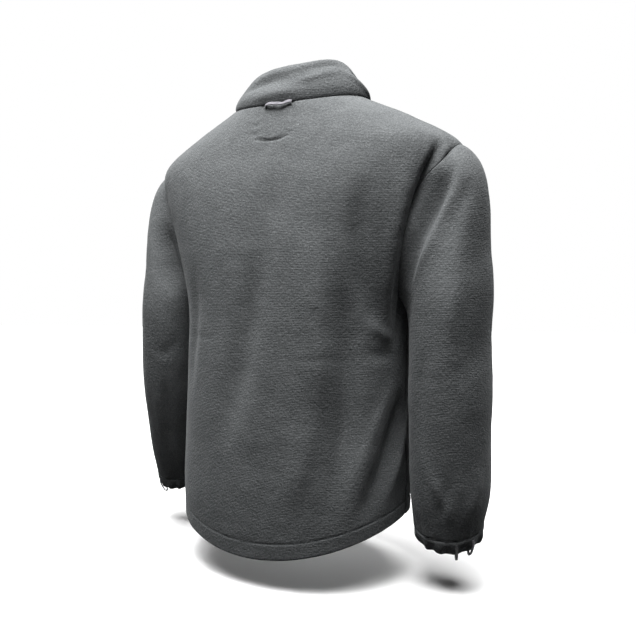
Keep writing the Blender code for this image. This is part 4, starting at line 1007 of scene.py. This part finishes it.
# ---------------------------------------------------------------- the zip
def zip_line(off, count, top):
    """Even points behind the front edges and their normals.

    They lie `off` from the centre, and end at share `top` of the collar.
    """
    rows = np.linspace(TAPE_START, NECK_ROW, 320)
    shares = np.linspace(0.0, top, 60)[1:]
    low, high = near_zip(torso_form, rows, off), near_zip(collar_form, shares, off)
    points = np.concatenate([torso_face(low, rows), collar_face(high, shares)])
    normals = np.concatenate([normal_of(torso_face, low, rows), normal_of(collar_face, high, shares)])
    cloth = CLOTH + (HEM_LAYERS - CLOTH) * hem_share(rows)
    cloth = cloth + (COLLAR_CLOTH - CLOTH) * smooth_step(rows - NECK_ROW + 1.0)
    depth = np.concatenate([cloth, np.full(len(shares), COLLAR_CLOTH)]) + SEAM_GAP
    length = run_along(points)
    even = np.linspace(0.0, length[-1], count)
    kernel = np.hanning(9) / np.hanning(9).sum()
    padded = np.pad(normals, ((4, 4), (0, 0)), mode="edge")  # half the kernel at each end
    normals = np.stack([np.convolve(padded[:, axis], kernel, "valid") for axis in range(3)], -1)
    points = read_along(points, length, even)
    normals = unit(read_along(normals, length, even))
    return points - normals * np.interp(even, length, depth)[:, None], normals


def make_tape(material):
    """The two halves of the zip's woven tape, meeting under the teeth."""
    outer = []
    for off in np.linspace(-TAPE_HALF_WIDTH, TAPE_HALF_WIDTH, 15):
        points, normals = zip_line(off, 300, TAPE_END)
        outer.append(points - normals * TAPE_EASE * (off / TAPE_HALF_WIDTH) ** 2)
    outer = np.stack(outer)
    normal = np.repeat(zip_line(0.0, 300, TAPE_END)[1][None], len(outer), axis=0)
    return wall("zip_tape_woven", outer, normal, TAPE_CLOTH, material)


def copies(name, model, frames, material):
    """One mesh of many copies of a model, each put at a (place, across, along, outward) frame."""
    points = np.array([v.co for v in model.data.vertices])
    faces = [list(p.vertices) for p in model.data.polygons]
    all_points, all_faces = [], []
    for number, (place, across, along, outward) in enumerate(frames):
        turned = points[:, :1] * across + points[:, 1:2] * along + points[:, 2:] * outward
        all_points.append(place + turned)
        all_faces += [[v + number * len(points) for v in face] for face in faces]
    bpy.data.objects.remove(model)
    return add_piece(name, np.concatenate(all_points), all_faces, material)


def select_only(item):
    bpy.ops.object.select_all(action="DESELECT")
    item.select_set(True)
    bpy.context.view_layer.objects.active = item


def apply_modifier(item, kind, **settings):
    select_only(item)
    modifier = item.modifiers.new(kind, kind)
    for key, value in settings.items():
        setattr(modifier, key, value)
    bpy.ops.object.modifier_apply(modifier=modifier.name)


def select_faces(item, facing):
    """Select the faces of a mesh in edit mode that look that way."""
    bpy.ops.mesh.select_all(action="DESELECT")
    mesh = bmesh.from_edit_mesh(item.data)
    for face in mesh.faces:
        face.select = face.normal.dot(facing) > 0.9
    bmesh.update_edit_mesh(item.data)


def tooth_model():
    """One moulded tooth: a block gripping the tape, with a narrower rounded head."""
    bpy.ops.object.select_all(action="DESELECT")
    bpy.ops.mesh.primitive_cube_add(size=1.0)
    tooth = bpy.context.object
    bpy.ops.object.mode_set(mode="EDIT")
    bpy.ops.transform.resize(value=(2.2 * MM, 1.45 * MM, 2.1 * MM))
    select_faces(tooth, Vector((1, 0, 0)))
    bpy.ops.mesh.extrude_region_move(TRANSFORM_OT_translate={"value": (0.9 * MM, 0.0, 0.0)})
    bpy.ops.transform.resize(value=(1.0, 0.72, 0.8))
    bpy.ops.mesh.extrude_region_move(TRANSFORM_OT_translate={"value": (0.8 * MM, 0.0, 0.0)})
    bpy.ops.transform.resize(value=(1.0, 1.25, 0.85))
    bpy.ops.object.mode_set(mode="OBJECT")
    apply_modifier(tooth, "BEVEL", width=0.18 * MM, segments=1)
    return tooth


def stitch_model():
    """One stitch of thread: a short six-sided bar that dips into the cloth at both ends."""
    bpy.ops.object.select_all(action="DESELECT")
    lying = (math.radians(90), 0.0, 0.0)
    bpy.ops.mesh.primitive_cylinder_add(vertices=6, radius=0.32 * MM, depth=1.5 * MM, rotation=lying)
    stitch = bpy.context.object
    bpy.ops.object.transform_apply(location=True, rotation=True, scale=True)
    for side in (-1, 1):
        bpy.ops.object.mode_set(mode="EDIT")
        select_faces(stitch, Vector((0, side, 0)))
        end = (0.0, side * 0.45 * MM, -0.35 * MM)
        bpy.ops.mesh.extrude_region_move(TRANSFORM_OT_translate={"value": end})
        bpy.ops.transform.resize(value=(0.6, 1.0, 0.6))
        bpy.ops.object.mode_set(mode="OBJECT")
    return stitch


def stitch_frames(line, normal, pitch, raise_by):
    """Places for stitches along a line of points on the cloth."""
    length = run_along(line)
    at = np.arange(pitch / 2, length[-1], pitch)
    middle, up = read_along(line, length, at), unit(read_along(normal, length, at))
    along = unit(read_along(np.gradient(line, axis=0), length, at))
    across = unit(np.cross(along, up))
    return [(m + n * raise_by, c, a, n) for m, c, a, n in zip(middle, across, along, up)]


FACING = (  # around, row: the stitched outline of the half-moon facing under the collar
    (78.6, 8.95),
    (79.6, 8.60),
    (81.6, 8.15),
    (83.0, 7.76),
    (84.4, 7.50),
    (87.4, 7.36),
    (92.0, 7.33),
    (95.6, 7.42),
    (98.2, 7.62),
    (100.2, 8.00),
    (102.4, 8.45),
    (104.4, 8.95),
)


def facing_line(count):
    at = np.linspace(0.0, len(FACING) - 1, count)
    around, row = np.moveaxis(smooth_row(FACING, at), -1, 0)
    return np.radians(around), row


FACING_STITCH = (trace(torso_face(*facing_line(300))), 0.0022, 0.0020, 0.0006, 0.006, 0.007)
BODY_SEAMS.append(FACING_STITCH)


def make_stitches(material):
    """The rows of thread that show: round the facing, round the hem and beside the zip."""
    angle = np.linspace(-math.pi / 2 + 0.05, 1.5 * math.pi - 0.05, 2400)
    rows = np.linspace(0.12, NECK_ROW - 0.05, 900)
    beside_zip = ZIP_OPENING / 2 + 0.007
    made = []
    for name, places, pitch, raise_by in (
        ("facing_stitches", facing_line(400), 2.8 * MM, STITCH_LIFT),
        ("hem_stitches", (angle, HEM_SHARE), 3.2 * MM, STITCH_LIFT),
        ("zip_stitches_left", (near_zip(torso_form, rows, beside_zip), rows), 3.2 * MM, 0.05 * MM),
        ("zip_stitches_right", (near_zip(torso_form, rows, -beside_zip), rows), 3.2 * MM, 0.05 * MM),
    ):
        frames = stitch_frames(*body_skin(*places), pitch, raise_by)
        made.append(copies(name, stitch_model(), frames, material))
    return made


def make_teeth(material):
    """The closed teeth, from each side in turn, up to the slider."""
    whole = run_along(zip_line(0.0, 400, TEETH_STOP)[0])[-1]
    count = int(whole / TOOTH_PITCH)
    points, normals = zip_line(0.0, count, TEETH_STOP)
    along = unit(np.gradient(points, axis=0))
    frames = []
    for number in range(count):
        side = 1 if number % 2 else -1
        outward = normals[number]
        across = unit(np.cross(along[number], outward)) * side
        place = points[number] - across * TOOTH_REACH + outward * MM
        frames.append((place, across, along[number] * side, outward))
    return copies("zip_teeth_moulded", tooth_model(), frames, material)


def rounded_copy(node, name, width, material):
    """A copy of a hard node with its edges rounded."""
    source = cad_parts[node]
    item = bpy.data.objects.new(name, source.data.copy())
    bpy.context.scene.collection.objects.link(item)
    item.data.materials.clear()
    item.data.materials.append(material)
    select_only(item)
    bpy.ops.object.mode_set(mode="EDIT")
    bpy.ops.mesh.select_all(action="SELECT")
    bpy.ops.mesh.remove_doubles(threshold=0.00002)
    bpy.ops.mesh.dissolve_limited(angle_limit=math.radians(2))
    bpy.ops.object.mode_set(mode="OBJECT")
    corners = {"limit_method": "ANGLE", "angle_limit": math.radians(35)}
    apply_modifier(item, "BEVEL", width=width, segments=3, **corners)
    select_only(item)
    bpy.ops.object.shade_smooth_by_angle(angle=math.radians(40))
    return item


# ---------------------------------------------------------------- the studio
def studio():
    """A white floor and backdrop, soft light, and the camera where the photographer stood."""
    scene = bpy.context.scene
    scene.view_settings.view_transform = "Standard"
    camera = bpy.data.objects.new("camera", bpy.data.cameras.new("camera"))
    scene.collection.objects.link(camera)
    scene.camera = camera
    yaw, pitch, roll, distance, height = 0.4808, 0.063, 0.0124, 0.9753, -0.2885  # radians and metres
    flat = math.cos(pitch)
    forward = Vector((math.sin(yaw) * flat, -math.cos(yaw) * flat, -math.sin(pitch)))
    right = forward.cross(Vector((0, 0, 1))).normalized()
    up = right.cross(forward)
    c, s = math.cos(roll), math.sin(roll)
    right, up = right * c + up * s, up * c - right * s
    turned = Matrix((right, up, -forward)).transposed().to_4x4()
    turned.translation = (-math.sin(yaw) * distance, math.cos(yaw) * distance, height)
    camera.matrix_world = turned
    camera.data.sensor_width = 36.0
    image, focal, middle_x, middle_y = 636, 635.5, 298.4, 349.07  # the photograph's, in pixels
    camera.data.lens = focal / image * camera.data.sensor_width
    camera.data.shift_x = (image / 2 - middle_x) / image
    camera.data.shift_y = (middle_y - image / 2) / image

    bpy.ops.object.select_all(action="DESELECT")
    below = (0.0, 0.0, -0.672)
    bpy.ops.mesh.primitive_circle_add(vertices=96, radius=12.0, fill_type="NGON", location=below)
    floor = bpy.context.object
    floor.name = "studio_floor"
    paper = new_finish("white_paper", {"Base Color": linear("F4F4F4"), "Roughness": 0.9})[0]
    floor.data.materials.append(paper)
    floor.visible_diffuse = False

    world = bpy.data.worlds.new("studio")
    scene.world = world
    world.use_nodes = True
    ground = world.node_tree.nodes["Background"]
    ground.inputs["Color"].default_value = (1.0, 1.0, 1.0, 1.0)
    ground.inputs["Strength"].default_value = 1.0
    world.cycles_visibility.diffuse = False
    world.cycles_visibility.glossy = False

    middle = Vector((0.0, 0.0, -0.3))  # of the jacket, which every light faces
    for name, kind, place, size, power in (
        ("sky_overhead", "SUN", (0.08, 0.15, 1.5), math.radians(60), 5.7),
        ("key_overhead", "AREA", (-0.02, 0.40, 1.05), 1.0, 42.0),
        ("fill_behind", "AREA", (-0.1, 2.4, 0.5), 1.6, 4.0),
        ("fill_front", "AREA", (0.6, -2.4, 0.4), 1.8, 7.0),
    ):
        light = bpy.data.lights.new(name, kind)
        light.energy = power
        if kind == "SUN":
            light.angle = size
        else:
            light.shape, light.size = "DISK", size
        lamp = bpy.data.objects.new(name, light)
        scene.collection.objects.link(lamp)
        lamp.location = place
        aim = middle - Vector(place)
        lamp.rotation_mode = "QUATERNION"
        lamp.rotation_quaternion = aim.to_track_quat("-Z", "Y")


# ---------------------------------------------------------------- the whole jacket
def main():
    studio()
    fleece = polar_fleece()
    elastic = woven("knitted_elastic", "1B1C1D", 0.0011, 0.25)
    grey_tape = woven("polyester_tape", "66646A", 0.0009, 0.2)
    zip_cloth = woven("zip_tape_twill", "171819", 0.0008, 0.15)
    thread = woven("polyester_thread", "3E4244", 0.0005, 0.3)
    teeth = moulded("moulded_acetal", "161718", 0.38, 0.0009, 0.00004)
    enamel = moulded("enamelled_zinc", "1A1B1C", 0.34, 0.0006, 0.00002, 0.4)

    panels, neck = make_body(fleece)

    def dress(piece, node, body="jacket"):
        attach(piece, body)
        if node:
            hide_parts(node)
        return piece

    for piece, node in zip(panels, ("back", "front_left", "front_right")):
        dress(piece, node)
    cloths = list(panels)
    for name in SLEEVES:
        cloths.append(dress(make_sleeve(name, fleece), "sleeve_" + name))
        cloths.append(dress(make_cuff(name, fleece), "cuff_" + name))
    cloths.append(dress(make_collar(neck, fleece), "collar"))
    dress(make_hanger(grey_tape), "hanger_loop")
    for name, places in CUFF_LOOPS.items():
        for number, phi in enumerate(places, 1):
            finish = grey_tape if number == GREY_LOOP[name] else elastic
            loop = make_cuff_loop(name, number, phi, finish)
            dress(loop, f"cuff_loop_{name}_{number}")
    for piece in make_stitches(thread):
        dress(piece, None)
    dress(make_tape(zip_cloth), "zip_tape")
    dress(make_teeth(teeth), "zip_chain")
    slider = rounded_copy("zip_slider", "slider_enamelled", 0.35 * MM, enamel)
    dress(slider, "zip_slider")
    pull = rounded_copy("zip_pull", "pull_enamelled", 0.22 * MM, enamel)
    dress(pull, "zip_pull", "pull")


main()
bpy.context.view_layer.update()
